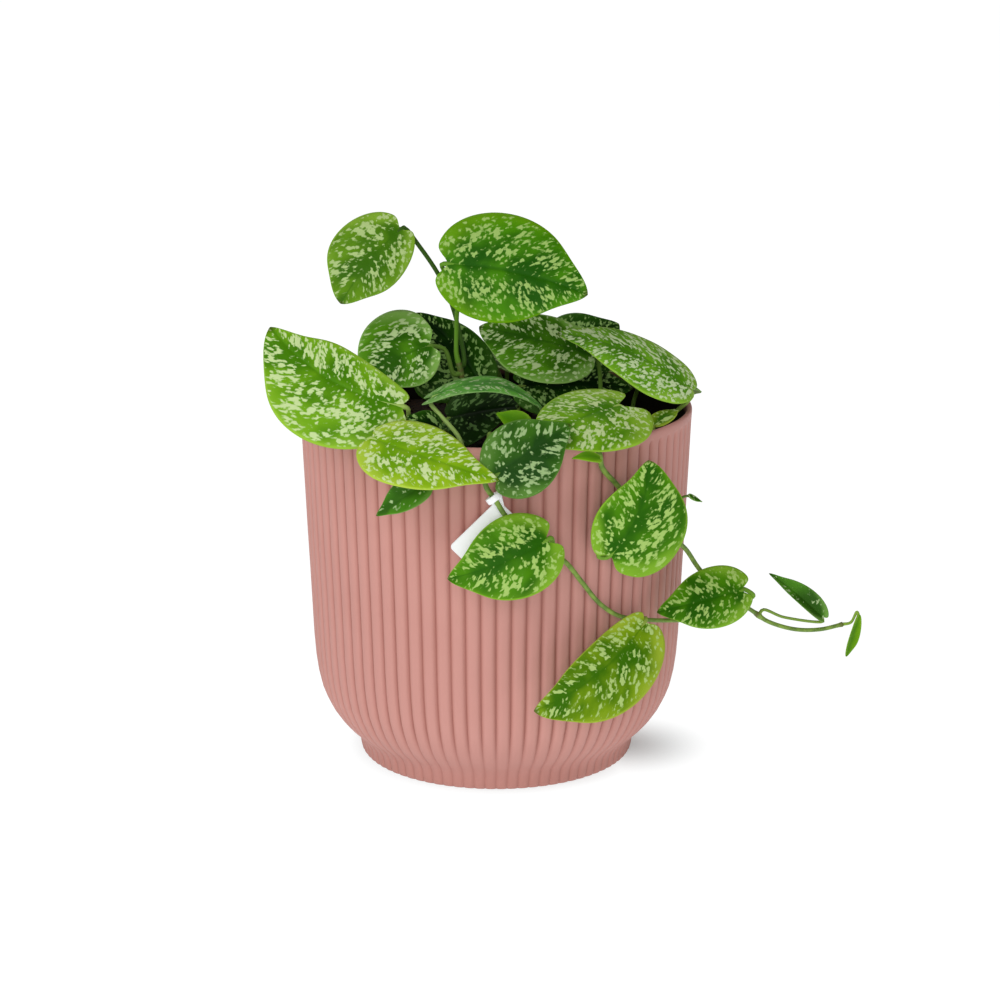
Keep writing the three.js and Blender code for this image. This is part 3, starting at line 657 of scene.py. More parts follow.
LEAVES = (
    # Crown, raised over the pot.
    Leaf("leaf_top_left", OnStem("stem_crown", 0.94),
         via=((-14.6, -4.5, 162), (-19.6, -5, 175), (-27.2, -6.5, 187)),
         base=(-33.3, -8, 192.9), tip=(-54, -20, 168.6), face=(-0.1, -0.9, 0.4),
         width=28, lobe=3, bow=1, taper=-0.1, lean=0.15, full=1.18, tone=Tone.PALE),
    Leaf("leaf_top", OnStem("stem_crown", 1), via=((-14, -8.5, 158), (-14, -14, 172)),
         base=(-16.8, -22, 183), tip=(31.5, -30, 173.5), face=(0.05, -0.92, 0.4),
         width=39.4, lobe=5, bow=-2, cup=-2, taper=0.06, lean=-0.05, full=1.06, tone=Tone.RICH),
    Leaf("leaf_upper_left", OnStem("stem_crown", 0.88), via=((-18, -9, 150),),
         base=(-23, -12, 152.3), tip=(-47, -20, 138.2), face=(-0.1, -0.75, 0.66),
         width=33.5, lobe=3, bow=2, cup=-1.5, taper=0.15, lean=0.22, tone=Tone.DEEP),
    Leaf("leaf_shade", InSoil(-2, 4), via=((-3, 7, 126),),
         base=(-6, 8, 134), tip=(-29, 18, 158.4), face=(0.1, -0.8, 0.6),
         width=32, lobe=4, bow=2, taper=0.2, lean=-0.35, tone=Tone.SHADE),
    Leaf("leaf_middle", InSoil(-11, -47), via=((-12.5, -48.5, 127.5), (-19.2, -47.5, 135.5)),
         base=(-21, -45, 141.2), tip=(16.2, -46.5, 136.8), face=(0, -0.08, 1),
         width=24, lobe=6, arch=6.5, taper=0.04, lean=-0.35, tone=Tone.INNER),
    Leaf("leaf_right_shade", InSoil(34, -6), via=((37, -5, 130),),
         base=(35.6, 6, 145.2), tip=(-6.2, 14, 154), face=(0, -0.7, 0.7),
         width=29.5, lobe=1.5, arch=2, bow=-0.5, cup=1, taper=-0.05, lean=-0.28, full=1.12, tone=Tone.DEEP),
    Leaf("leaf_back_top", InSoil(32, 36), via=((30, 37, 130),),
         base=(26, 34, 139.5), tip=(46, 46, 149), face=(0.1, -0.7, 0.7),
         width=30, lobe=4, arch=2, taper=0.2, tone=Tone.SHADE),
    Leaf("leaf_right", InSoil(56, -8), via=((60, -8, 124),),
         base=(69.2, -12, 136.1), tip=(21.4, -14, 157), face=(0.3, -0.36, 0.87),
         width=34, lobe=2, arch=3, bow=2.5, cup=-2, taper=0.22, lean=-0.02, full=1.08, tone=Tone.SUNLIT),
    Leaf("leaf_right_low", InSoil(44, -40), via=((46, -41, 128),),
         base=(41.5, -50.5, 139.3), tip=(10.5, -74.5, 130.4), face=(0.05, -0.4, 0.9),
         width=35, lobe=9.5, arch=2, cup=-2, taper=0.1, lean=-0.1, tone=Tone.BRIGHT),
    Leaf("leaf_new", InSoil(14, -50), via=((15, -51, 128),),
         base=(11, -59, 133), tip=(0, -57, 138), face=(0, -0.8, 0.6),
         width=8, lobe=1, cup=1, taper=0.2, tone=Tone.PLAIN),
    # Left side, over the rim.
    Leaf("leaf_left", InSoil(-30, -38), via=((-31, -41, 126),),
         base=(-31.4, -57, 140.5), tip=(-75.7, -52, 166.5), face=(-0.1, -0.8, 0.6),
         width=34.6, lobe=4, bow=-5.5, taper=-0.22, lean=-0.27, full=1.02, tone=Tone.BRIGHT),
    Leaf("leaf_left_low", InSoil(-24, -46), via=((-26, -52, 128), (-33, -63, 130.8)),
         base=(-41, -74.2, 133.6), tip=(1, -90.5, 123.3), face=(0.1, -0.6, 0.8),
         width=29.4, lobe=2.6, arch=2, bow=2, taper=0.22, lean=0.02, tone=Tone.YOUNG),
    Leaf("leaf_left_under", InSoil(-16, -52), via=((-17, -60, 131), (-16, -69, 132), (-15, -75, 125)),
         base=(-22, -80, 119.5), tip=(-39.5, -80, 108.5), face=(-0.1, -0.8, 0.5),
         width=11, lobe=1, cup=2, taper=0.2, tone=Tone.BACK),
    # Front vine.
    Leaf("leaf_front_high", OnStem("vine_front", 0.3),
         base=(0.3, -81.5, 122.8), tip=(24.6, -75, 138.2), face=(-0.1, -0.9, 0.4),
         width=25.8, lobe=4, taper=0.1, tone=Tone.MUTED),
    Leaf("leaf_front", OnStem("vine_front", 0.52),
         base=(16.7, -80, 100), tip=(-16, -84, 88), face=(0, -0.95, 0.3),
         width=28, lobe=5, arch=2, bow=-1.5, taper=0.1, tone=Tone.FRESH),
    Leaf("leaf_front_low", OnStem("vine_front", 0.83),
         base=(51, -60, 65.5), tip=(12.8, -82, 41), face=(0.3, -0.9, 0.3),
         width=26, lobe=3, arch=2, bow=-3.3, taper=0.02, lean=-0.31, full=1.15, tone=Tone.GOLDEN),
    # Right vine.
    Leaf("leaf_right_front", OnStem("vine_right", 0.36), via=((39.5, -66.5, 98), (34.4, -68.6, 91.5)),
         base=(38.5, -68.5, 91.5), tip=(51, -66, 124), face=(0.35, -0.93, 0.1),
         width=34, lobe=3.5, arch=2, bow=3, taper=0.08, lean=0.2, full=1.08, tone=Tone.FRESH),
    Leaf("leaf_heart", OnStem("vine_right", 0.76), via=((91, -31, 66),),
         base=(86.6, -34, 68.9), tip=(55.7, -50, 65.8), face=(0.3, -0.9, 0.3),
         width=21.6, lobe=5, taper=0.1, tone=Tone.FRESH),
    Leaf("leaf_folded", OnStem("vine_right", 0.81), via=((103, -23, 55.5),),
         base=(116.8, -22.6, 55.3), tip=(98.2, -14, 69.2), face=(0.3, -0.7, 0.6),
         width=8.4, lobe=2, cup=1, fold=1.5, taper=0.2, tone=Tone.BACK),
    Leaf("leaf_end", OnStem("vine_right", 1),
         base=(130.4, -20, 55.6), tip=(125.6, -24, 41), face=(0.7, -0.6, 0.3),
         width=5.5, lobe=0, arch=0, cup=1, taper=-0.3, full=1.3, tone=Tone.PLAIN),
    Leaf("leaf_sprout", OnStem("vine_right", 0.45),
         base=(66.8, -38.2, 104.6), tip=(71.8, -36, 101.6), face=(0.2, -0.6, 0.8),
         width=2.4, lobe=0.3, arch=0, cup=0, taper=0.2, tone=Tone.DEEP),
    Leaf("leaf_rim", OnStem("vine_right", 0.2),
         base=(34.2, -77.5, 127.4), tip=(25, -80, 128), face=(0, -0.5, 0.85),
         width=5, lobe=1, cup=0, taper=0.2, tone=Tone.PLAIN),
    Leaf("leaf_rim_right", InSoil(55, -34), via=((55.5, -32, 125),),
         base=(55, -31, 128), tip=(64, -22, 131.4), face=(-0.4, -0.5, 0.75),
         width=9, lobe=1, cup=0, taper=0.2, tone=Tone.GOLDEN),
    Leaf("leaf_inner", InSoil(-20, -16), via=((-20, -17, 123),),
         base=(-17, -21, 128), tip=(8, -31, 134.5), face=(0, -0.6, 0.8),
         width=30, lobe=3, taper=0.15, tone=Tone.DIM),
    Leaf("leaf_inner_right", InSoil(8, 12), via=((8, 13, 124),),
         base=(9, 14, 132), tip=(50, 15, 131), face=(0, -0.75, 0.65),
         width=25, lobe=4, arch=2, taper=0.15, tone=Tone.SHADE),
    Leaf("leaf_inner_left", InSoil(-17, -38), via=((-17, -41, 128),),
         base=(-18.5, -53, 131), tip=(-30, -58, 137), face=(0, -0.7, 0.7),
         width=11, lobe=1, cup=0, taper=0.2, tone=Tone.SHADE),
    # Back of the pot.
    Leaf("leaf_back_left", InSoil(-40, 10), via=((-43, 11, 128),),
         base=(-49, 14, 136), tip=(-78, 36, 130), face=(-0.3, 0.2, 0.93),
         width=37, lobe=5, arch=4, cup=-2, taper=0.15, tone=Tone.DEEP),
    Leaf("leaf_back", InSoil(4, 40), via=((4, 43, 130),),
         base=(4, 49, 139), tip=(2, 90, 119), face=(0, 0.5, 0.87),
         width=40, lobe=6, arch=5, cup=-2, taper=0.12, tone=Tone.DEEP),
    Leaf("leaf_back_right", InSoil(30, 42), via=((32, 45, 128),),
         base=(40, 46, 139), tip=(62, 68, 113), face=(0.35, 0.6, 0.72),
         width=36, lobe=5, arch=5, cup=-2, taper=0.15, tone=Tone.DEEP),
    Leaf("leaf_back_centre", InSoil(4, 22), via=((3, 24, 128),),
         base=(0, 24, 137), tip=(-24, 38, 141), face=(0, 0.1, 1),
         width=34, lobe=5, arch=3, cup=-2, taper=0.15, tone=Tone.DEEP),
    Leaf("leaf_back_side", InSoil(50, 20), via=((51, 22, 126),),
         base=(56, 17, 137), tip=(71, 42, 121), face=(0.6, 0.3, 0.75),
         width=30, lobe=4, arch=5, taper=0.15, tone=Tone.DEEP),
    Leaf("leaf_side_left", InSoil(-48, -16), via=((-50, -16, 126),),
         base=(-54, -14, 137), tip=(-79, 0, 128), face=(-0.5, 0.1, 0.85),
         width=26, lobe=4, arch=3, taper=0.15, tone=Tone.FRESH),
    Leaf("leaf_back_vine_1", OnStem("vine_back", 0.42),
         base=(-32, 76, 118), tip=(-56, 68, 92), face=(-0.45, 0.85, 0.25),
         width=32, lobe=4, arch=2, taper=0.15, tone=Tone.DEEP),
    Leaf("leaf_back_vine_2", OnStem("vine_back", 0.62),
         base=(-30, 73, 94), tip=(-2, 80, 76), face=(-0.1, 0.95, 0.2),
         width=31, lobe=4, arch=2, taper=0.15, tone=Tone.DEEP),
    Leaf("leaf_back_vine_3", OnStem("vine_back", 0.84),
         base=(-39, 68, 66), tip=(-54, 62, 40), face=(-0.5, 0.85, 0.1),
         width=26, lobe=4, arch=2, taper=0.18, tone=Tone.DEEP),
    Leaf("leaf_back_vine_4", OnStem("vine_back", 1),
         base=(-24, 71, 49), tip=(-12, 72, 34), face=(-0.1, 0.95, 0.2),
         width=13, lobe=1.5, cup=1, taper=0.2, tone=Tone.DEEP),
)


# ---------------------------------------------------------------------------------------- finishes


class Shade(Graph):
    """A material that is written as expressions."""

    def __init__(self, name: str) -> None:
        """Makes an empty material.

        Args:
            name: the material's name.
        """
        self.material = bpy.data.materials.new(name)
        self.material.use_nodes = True
        super().__init__(self.material.node_tree)
        self.tree.nodes.clear()

    def attribute(self, name: str) -> Wire:
        """A number that the mesh keeps under a name."""
        return self.wire("ShaderNodeAttribute", {"attribute_name": name}, output="Fac")

    def triple(self, name: str) -> tuple[Wire, Wire, Wire]:
        """The three numbers that the mesh keeps under a name."""
        return self.split(self.wire("ShaderNodeAttribute", {"attribute_name": name}, output="Vector"))

    def place(self) -> Wire:
        """The place on the object, in millimetres."""
        return self.scale(self.wire("ShaderNodeTexCoord", output="Object"), 1 / MM)

    def bump(self, height: Wire, depth: float) -> Wire:
        """A normal that is tilted by a height.

        Args:
            height: the height, about nought to one.
            depth: what a height of one stands for, in millimetres.

        Returns:
            The tilted normal.
        """
        return self.wire("ShaderNodeBump", values={
            "Strength": 1.0, "Distance": depth * MM, "Height": height})

    def finish(self, values: dict) -> bpy.types.Material:
        """Ends the material in one Principled surface.

        Args:
            values: what its inputs hold.

        Returns:
            The material.
        """
        surface = self.wire("ShaderNodeBsdfPrincipled", values=values)
        self.node("ShaderNodeOutputMaterial", values={"Surface": surface})
        return self.material


@dataclass(frozen=True)
class LeafFinish:
    """A leaf: silver flecks on green, a plain midrib and margin, and a matte underside.

    A grain is in waves per millimetre, across the blade and along its side veins. The way out, from
    the midrib to the margin, and the way along, from the notch to the tip, count from nought to
    one. A range is the two values of a way, or of a noise, between which something sets in.

    Attributes:
        tone: its colours.
        drip: the colour of the drawn-out tip.
        fleck_grain: the grain of the flecks.
        patch_grain: the grain of the patches where flecks are dense.
        skin_grain: the grain of the skin, which frays the flecks.
        cloud_grain: the grain of the lighter and darker green.
        bare: how silvery the midrib is; nought or less is bare.
        clad: how much more silvery the blade is beside it.
        patchy: how much more silvery a patch is by the margin.
        dense: how much more silvery it is away from the margin, on top of that.
        cells: how much the flecks keep apart.
        fray: how much the skin frays them.
        fleck: the range of all of that over which a fleck shows.
        patch: the range of the noise over which a patch shows.
        beside: the range of the way out over which the silver starts.
        outer: the range of the way out over which patches thin.
        plain: the range of the way out over which the silver ends.
        cloud: the range of the clouds over which the green gets lighter.
        cloud_out: what the way out adds to them.
        rim: the range of the way out over which the green turns to the rim's.
        rim_cloud: what the clouds add to it.
        rim_share: how far it turns.
        ears: the range over which the ears by the notch turn so.
        ear_ways: what the way out, the way along and the clouds count for in that.
        ear_share: how far the ears turn.
        vein: where the dark line of the midrib ends, and how dark it is.
        line: the range of the way out over which the margin's line sets in.
        line_share: how strong that line is.
        tip: the range of the way along over which the tip turns to its own colour.
        tip_share: how far it turns.
        back_silver: how much the flecks show on the underside.
        back_cloud: how much the clouds do.
        matte: its roughness, and what the underside and the silver add to it.
        sheen: how much it mirrors.
        relief: the depth of its relief in millimetres.
        relief_parts: what the flecks, the skin and a finer grain count for in that.
    """

    tone: Tone
    drip: str = "3c4410"
    fleck_grain: Pair = (0.56, 0.7)
    patch_grain: Pair = (0.16, 0.26)
    skin_grain: Pair = (0.66, 0.8)
    cloud_grain: Pair = (0.09, 0.09)
    bare: float = -0.11
    clad: float = 0.12
    patchy: float = 0.05
    dense: float = 0.18
    cells: float = 0.6
    fray: float = 1.3
    fleck: Pair = (-0.225, -0.015)
    patch: Pair = (0.4, 0.6)
    beside: Pair = (0.06, 0.28)
    outer: Pair = (0.62, 0.96)
    plain: Pair = (0.94, 0.98)
    cloud: Pair = (0.42, 0.78)
    cloud_out: float = 0.22
    rim: Pair = (1.15, 1.65)
    rim_cloud: float = 0.8
    rim_share: float = 0.5
    ears: Pair = (0.4, 0.85)
    ear_ways: Triple = (0.9, 1.1, 0.3)
    ear_share: float = 0.6
    vein: Pair = (0.06, 0.5)
    line: Pair = (0.945, 0.985)
    line_share: float = 0.8
    tip: Pair = (0.955, 0.995)
    tip_share: float = 0.75
    back_silver: float = 0.2
    back_cloud: float = 0.3
    matte: Triple = (0.44, 0.2, 0.06)
    sheen: float = 0.06
    relief: float = 0.05
    relief_parts: Triple = (0.5, 0.5, 0.35)

    def make(self) -> bpy.types.Material:
        """Makes the material.

        Returns:
            The material.
        """
        look = self.tone.value
        shade = Shade(f"leaf_{self.tone.name.lower()}")
        growth = shade.triple("growth")
        edge, share, under = shade.triple("blade")
        skin = self.grain(shade, growth, self.skin_grain)
        rough = shade.noise(skin, 1.0, detail=1.7, roughness=0.55, warp=0.5)
        clouds = shade.noise(self.grain(shade, growth, self.cloud_grain, 5.0), 1.0)
        silver = self.silver(shade, growth, edge, rough)

        colour = shade.mix(silver, self.green(shade, edge, share, clouds), linear(look.silver))
        colour = shade.mix(shade.step(edge, *self.line) * self.line_share, colour, linear(look.rim))
        colour = shade.mix(shade.step(share, *self.tip) * self.tip_share, colour, linear(self.drip))
        shown = silver * self.back_silver + clouds * self.back_cloud
        colour = shade.mix(under, colour, shade.mix(shown, linear(look.under), linear(look.rim)))
        colour = shade.mix(shade.attribute("stalk"), colour, linear(look.stalk))

        matte, below, flecked = self.matte
        high, frayed, fine = self.relief_parts
        height = silver * high + rough * frayed + shade.noise(skin, 4.0) * fine
        return shade.finish({
            "Base Color": colour,
            "Roughness": matte + under * below + silver * flecked,
            "Specular IOR Level": self.sheen,
            "Normal": shade.bump(height, self.relief),
        })

    def silver(self, shade: Shade, growth: tuple[Wire, Wire, Wire], edge: Wire, rough: Wire) -> Wire:
        """How much silver shows at a place.

        Args:
            shade: the material.
            growth: the way across, the way along the veins and the leaf's seed.
            edge: the way from the midrib to the margin.
            rough: the noise of the skin.

        Returns:
            Nought where the blade is green, one in a fleck.
        """
        patch_noise = shade.noise(self.grain(shade, growth, self.patch_grain), 1.0, detail=1.0, warp=0.4)
        cells = shade.wire("ShaderNodeTexVoronoi", values={
            "Vector": self.grain(shade, growth, self.fleck_grain), "Scale": 1.0, "Randomness": 1.0})
        patches = shade.step(patch_noise, *self.patch)
        within = shade.fade(edge, *self.outer) * self.dense
        gain = shade.step(edge, *self.beside) * (self.clad + patches * (self.patchy + within))
        reach = self.bare + self.tone.value.cover + gain
        spread = shade.step(reach - cells * self.cells + (rough - 0.5) * self.fray, *self.fleck)
        return spread * shade.fade(edge, *self.plain)

    def green(self, shade: Shade, edge: Wire, share: Wire, clouds: Wire) -> Wire:
        """The green between the flecks.

        Args:
            shade: the material.
            edge: the way from the midrib to the margin.
            share: the way from the notch to the tip.
            clouds: the noise of the green.

        Returns:
            The colour.
        """
        look = self.tone.value
        deep, rim = linear(look.deep), linear(look.rim)
        lighter = shade.step(clouds + edge * self.cloud_out, *self.cloud)
        colour = shade.mix(lighter, deep, linear(look.light))
        turning = shade.step(edge + clouds * self.rim_cloud, *self.rim)
        colour = shade.mix(turning * self.rim_share, colour, rim)
        out, along, cloudy = self.ear_ways
        ears = shade.step(edge * out - share * along + clouds * cloudy, *self.ears)
        colour = shade.mix(ears * self.ear_share, colour, rim)
        end, dark = self.vein
        return shade.mix(shade.fade(edge, 0.0, end, dark), colour, deep)

    @staticmethod
    def grain(shade: Shade, growth: tuple[Wire, Wire, Wire], fine: Pair, apart: float = 9.0) -> Wire:
        """A place on the blade for a noise to read.

        Args:
            shade: the material.
            growth: the way across, the way along the veins and the leaf's seed.
            fine: the grain.
            apart: how far the noise of one seed lies from the next one's.

        Returns:
            The place.
        """
        across, along, seed = growth
        return shade.combine(across * fine[0], along * fine[1], seed * apart)


@dataclass(frozen=True)
class StemFinish:
    """A vine's green skin with brown rings at its joints. Grains in waves per millimetre.

    Attributes:
        green: the sunlit skin.
        shaded: the skin in the shade.
        scar: the rings.
        cloud_grain: the grain of the sunlit and shaded parts.
        streak_grain: the grain of the streaks along the stem.
        sunny: the range of both noises over which the skin gets lighter.
        matte: its roughness, and how much the clouds add to it.
        wrinkle_grain: the grain of its wrinkles.
        wrinkle: their depth in millimetres.
    """

    green: str = "82a23e"
    shaded: str = "4f7020"
    scar: str = "5a4322"
    cloud_grain: float = 0.35
    streak_grain: float = 0.05
    sunny: Pair = (0.75, 1.25)
    matte: Pair = (0.5, 0.2)
    wrinkle_grain: float = 1.6
    wrinkle: float = 0.15

    def make(self) -> bpy.types.Material:
        """Makes the material.

        Returns:
            The material.
        """
        shade = Shade("stem")
        _, along, seed = shade.triple("growth")
        place = shade.place()
        cloud = shade.noise(place, self.cloud_grain, detail=3.0)
        streak = shade.noise(shade.combine(along * self.streak_grain, seed, 0.0), 1.0)
        sunny = shade.step(cloud + streak, *self.sunny)
        colour = shade.mix(sunny, linear(self.shaded), linear(self.green))
        return shade.finish({
            "Base Color": shade.mix(shade.attribute("scar"), colour, linear(self.scar)),
            "Roughness": self.matte[0] + cloud * self.matte[1],
            "Normal": shade.bump(shade.noise(place, self.wrinkle_grain, detail=3.0), self.wrinkle),
        })


@dataclass(frozen=True)
class PotFinish:
    """Pink ware with a fine grain, painted shade in its creases and painted shade and stain inside.
    Millimetres.

    Attributes:
        pink: the ware.
        crease: the darker pink of the painted shade in its creases; the pink also deepens to it towards the
            foot.
        shade_and_stain: the painted shade, with some soil stain, on the wall beside the soil.
        creased: how strong the painted shade is in a crease.
        cloud_grain: waves per millimetre of the uneven pink.
        cloud: how uneven it is.
        foot_height: the height below which the pink gets deeper.
        foot: how deep it is at the very foot.
        grain: waves per millimetre of the fine grain.
        matte: its roughness, and how much the grain adds to it.
        sheen: how much it mirrors.
        relief: the depth of the grain.
    """

    pink: str = "c68f86"
    crease: str = "84402f"
    shade_and_stain: str = "150f0a"
    creased: float = 0.62
    cloud_grain: float = 0.05
    cloud: float = 0.2
    foot_height: float = 30.0
    foot: float = 0.28
    grain: float = 2.2
    matte: Pair = (0.5, 0.12)
    sheen: float = 0.2
    relief: float = 0.03

    def make(self) -> bpy.types.Material:
        """Makes the material.

        Returns:
            The material.
        """
        shade = Shade("pot")
        place = shade.place()
        cloud = shade.noise(place, self.cloud_grain, detail=3.0)
        grain = shade.noise(place, self.grain, detail=4.0, roughness=0.6)
        low = shade.fade(shade.split(place)[2], 0.0, self.foot_height, self.foot)
        # Painted shade in the creases, where the ribs shade one another; the pink also deepens towards the
        # foot.
        depth = shade.attribute("crease") * self.creased + (cloud - 0.5) * self.cloud + low
        tint = shade.mix(depth, linear(self.pink), linear(self.crease))
        return shade.finish({
            # Painted shade with some soil stain darkens the wall inside, beside the soil.
            "Base Color": shade.mix(shade.attribute("inside"), tint, linear(self.shade_and_stain)),
            "Roughness": self.matte[0] + grain * self.matte[1],
            "Specular IOR Level": self.sheen,
            "Normal": shade.bump(grain, self.relief),
        })


@dataclass(frozen=True)
class SoilFinish:
    """Dark potting soil with paler fibres. Grains in waves per millimetre.

    Attributes:
        dark: the wet soil.
        brown: the fibres.
        lump_grain: the grain of its lumps.
        fibre_grain: the grain of its fibres.
        dry: the range of both noises over which the soil gets paler.
        matte: its roughness.
        sheen: how much it mirrors.
        relief: the depth of its fibres in millimetres.
    """

    dark: str = "110a06"
    brown: str = "412c1b"
    lump_grain: float = 0.4
    fibre_grain: float = 1.3
    dry: Pair = (0.42, 0.66)
    matte: float = 0.95
    sheen: float = 0.2
    relief: float = 0.6

    def make(self) -> bpy.types.Material:
        """Makes the material.

        Returns:
            The material.
        """
        shade = Shade("soil")
        place = shade.place()
        lumps = shade.noise(place, self.lump_grain, detail=5.0, roughness=0.65)
        fibres = shade.noise(place, self.fibre_grain, detail=4.0, roughness=0.7)
        dry = shade.step(lumps * 0.5 + fibres * 0.5, *self.dry)
        return shade.finish({
            "Base Color": shade.mix(dry, linear(self.dark), linear(self.brown)),
            "Roughness": self.matte,
            "Specular IOR Level": self.sheen,
            "Normal": shade.bump(fibres, self.relief),
        })


@dataclass(frozen=True)
class LabelFinish:
    """The label's white plastic with a faint grain, and a painted glow that lightens it.

    Attributes:
        white: its colour.
        matte: its roughness, and how much the grain adds to it.
        grain: waves per millimetre of the grain.
        glow: how strong that painted glow is; it lightens the label where leaves shade it.
    """

    white: str = "f4f5f8"
    matte: Pair = (0.38, 0.06)
    grain: float = 0.8
    glow: float = 0.12

    def make(self) -> bpy.types.Material:
        """Makes the material.

        Returns:
            The material.
        """
        shade = Shade("label")
        grain = shade.noise(shade.place(), self.grain)
        return shade.finish({
            "Base Color": rgba(linear(self.white)),
            "Roughness": self.matte[0] + grain * self.matte[1],
            # Painted glow: the white shines a little, to lighten the label in the leaves' shade.
            "Emission Color": rgba(linear(self.white)),
            "Emission Strength": self.glow,
        })


@dataclass(frozen=True)
class FloorFinish:
    """A white sweep that glows, with a painted shadow by the foot of the pot where it glows less.
    Millimetres.

    Attributes:
        near: how far from the middle the ring of painted shade round the foot starts to fade.
        far: where it has faded.
        ring: how deep the ring's painted shade is.
        lee: the middle of the patch of painted shadow, on the side away from the light.
        spread: how far the patch reaches.
        low: the glow where the floor is dimmest.
        glow: its glow elsewhere.
        bare: how light its paint is where the floor is dimmest.
        lit: the same elsewhere.
        tint: red and green of the paint, for a blue of one; it keeps the painted shadow grey.
        matte: its roughness.
        sheen: how much it mirrors.
    """

    near: float = 44.0
    far: float = 60.0
    ring: float = 0.5
    lee: Pair = (48.0, -3.0)
    spread: Pair = (36.0, 36.0)
    low: float = 0.26
    glow: float = 1.0
    bare: float = 0.85
    lit: float = 0.12
    tint: Pair = (0.72, 0.95)
    matte: float = 0.9
    sheen: float = 0.1

    def make(self) -> bpy.types.Material:
        """Makes the material.

        Returns:
            The material.
        """
        shade = Shade("floor")
        place = shade.place()
        x, y, _ = shade.split(place)
        lee = shade.combine((x - self.lee[0]) / self.spread[0], (y - self.lee[1]) / self.spread[1], 0.0)
        patch = shade.fade(shade.length(lee), 0.0, 1.0)
        ring = shade.fade(shade.length(place), self.near, self.far, self.ring)
        # Painted shadow: in the patch and the ring the floor glows less and its paint is lighter, so it looks
        # shaded there.
        painted_shadow = shade.maths("MAXIMUM", patch, ring)
        level = painted_shadow * (self.low - self.glow) + self.glow
        paint = painted_shadow * (self.bare - self.lit) + self.lit
        return shade.finish({
            "Base Color": shade.combine(paint * self.tint[0], paint * self.tint[1], paint),
            "Roughness": self.matte,
            "Specular IOR Level": self.sheen,
            "Emission Color": shade.combine(level, level, level),
            "Emission Strength": 1.0,
        })


# ------------------------------------------------------------------------------------ node recipes


class TubeRecipe(Recipe):
    """Turns the loose edges of a mesh into round tubes of the girth that their corners keep."""

    def __init__(self) -> None:
        """Builds the tree."""
        super().__init__("grown tubes", {"Sides": "Int"})
        girth = self.attribute("girth")
        parts = self.node("GeometryNodeSeparateGeometry", {"domain": "POINT"},
                          {"Geometry": self.given("Geometry"), "Selection": girth > 0.0})
        line = self.wire("GeometryNodeMeshToCurve", values={"Mesh": Wire(self, parts.outputs[0])})
        ring = self.wire("GeometryNodeCurvePrimitiveCircle", {"mode": "RADIUS"},
                         {"Resolution": self.given("Sides"), "Radius": 1.0})
        tube = self.wire("GeometryNodeCurveToMesh", values={
            "Curve": line, "Profile Curve": ring, "Scale": girth, "Fill Caps": True})
        smooth = self.wire("GeometryNodeSetShadeSmooth", values={0: tube, "Shade Smooth": True})
        self.finish(self.join(smooth, Wire(self, parts.outputs[1])))


class RibRecipe(Recipe):
    """Presses upright creases into a round wall, where its corners keep a "flute" weight."""

    def __init__(self) -> None:
        """Builds the tree."""
        super().__init__("pressed ribs", {"Ribs": "Float", "Depth": "Float", "Power": "Float"})
        x, y, _ = self.split(self.wire("GeometryNodeInputPosition"))
        turn = self.maths("ARCTAN2", y, x) / math.tau
        phase = self.maths("FRACT", turn * self.given("Ribs") + self.given("Ribs"))
        away = self.maths("ABSOLUTE", phase * 2.0 - 1.0)
        crease = away ** self.given("Power") * self.attribute("flute")
        radius = self.maths("SQRT", x * x + y * y)
        press = crease * self.given("Depth") / radius
        inward = self.combine(0.0 - x * press, 0.0 - y * press, 0.0)
        moved = self.wire("GeometryNodeSetPosition", values={
            "Geometry": self.given("Geometry"), "Offset": inward})
        # The crease weight kept here also sets the painted shade in the pot's creases.
        self.finish(self.keep(moved, "crease", crease ** 2.0))


class CrumbRecipe(Recipe):
    """Scatters small lumps over the parts of a mesh that are marked "open".

    Attributes:
        SLIM: the least length, width and height of a lump, as shares of its size.
        STOUT: the most of each.
        RARE: how much rarer large lumps are than small ones.
        DETAIL: how fine a lump's mesh is: one has twenty faces, and two has eighty.
    """

    SLIM = (0.5, 0.5, 0.35)
    STOUT = (1.3, 1.0, 0.8)
    RARE = 3.0
    DETAIL = 2

    def __init__(self) -> None:
        """Builds the tree."""
        super().__init__("crumbs", {"Density": "Float", "Small": "Float", "Large": "Float", "Seed": "Int"})
        ground = self.given("Geometry")
        spots = self.wire("GeometryNodeDistributePointsOnFaces", {"distribute_method": "RANDOM"}, {
            "Mesh": ground, "Selection": self.attribute("open") > 0.5, "Density": self.given("Density"),
            "Seed": self.given("Seed")})
        lump = self.wire("GeometryNodeMeshIcoSphere", values={"Radius": 1.0, "Subdivisions": self.DETAIL})
        turn = self.chance((0.0, 0.0, 0.0), (math.tau, math.tau, math.tau))
        size = self.wire("FunctionNodeRandomValue", {"data_type": "FLOAT"},
                         {2: 0.0, 3: 1.0, "Seed": self.given("Seed")}, 1)
        reach = self.given("Small") + (self.given("Large") - self.given("Small")) * size ** self.RARE
        lumps = self.wire("GeometryNodeInstanceOnPoints", values={
            "Points": spots, "Instance": lump, "Rotation": turn,
            "Scale": self.scale(self.chance(self.SLIM, self.STOUT), reach)})
        self.finish(self.join(ground, lumps))

    def chance(self, least: Triple, most: Triple) -> Wire:
        """Three random numbers for each lump."""
        values = {0: least, 1: most, "Seed": self.given("Seed")}
        return self.wire("FunctionNodeRandomValue", {"data_type": "FLOAT_VECTOR"}, values)


# ------------------------------------------------------------------------------------------ pieces


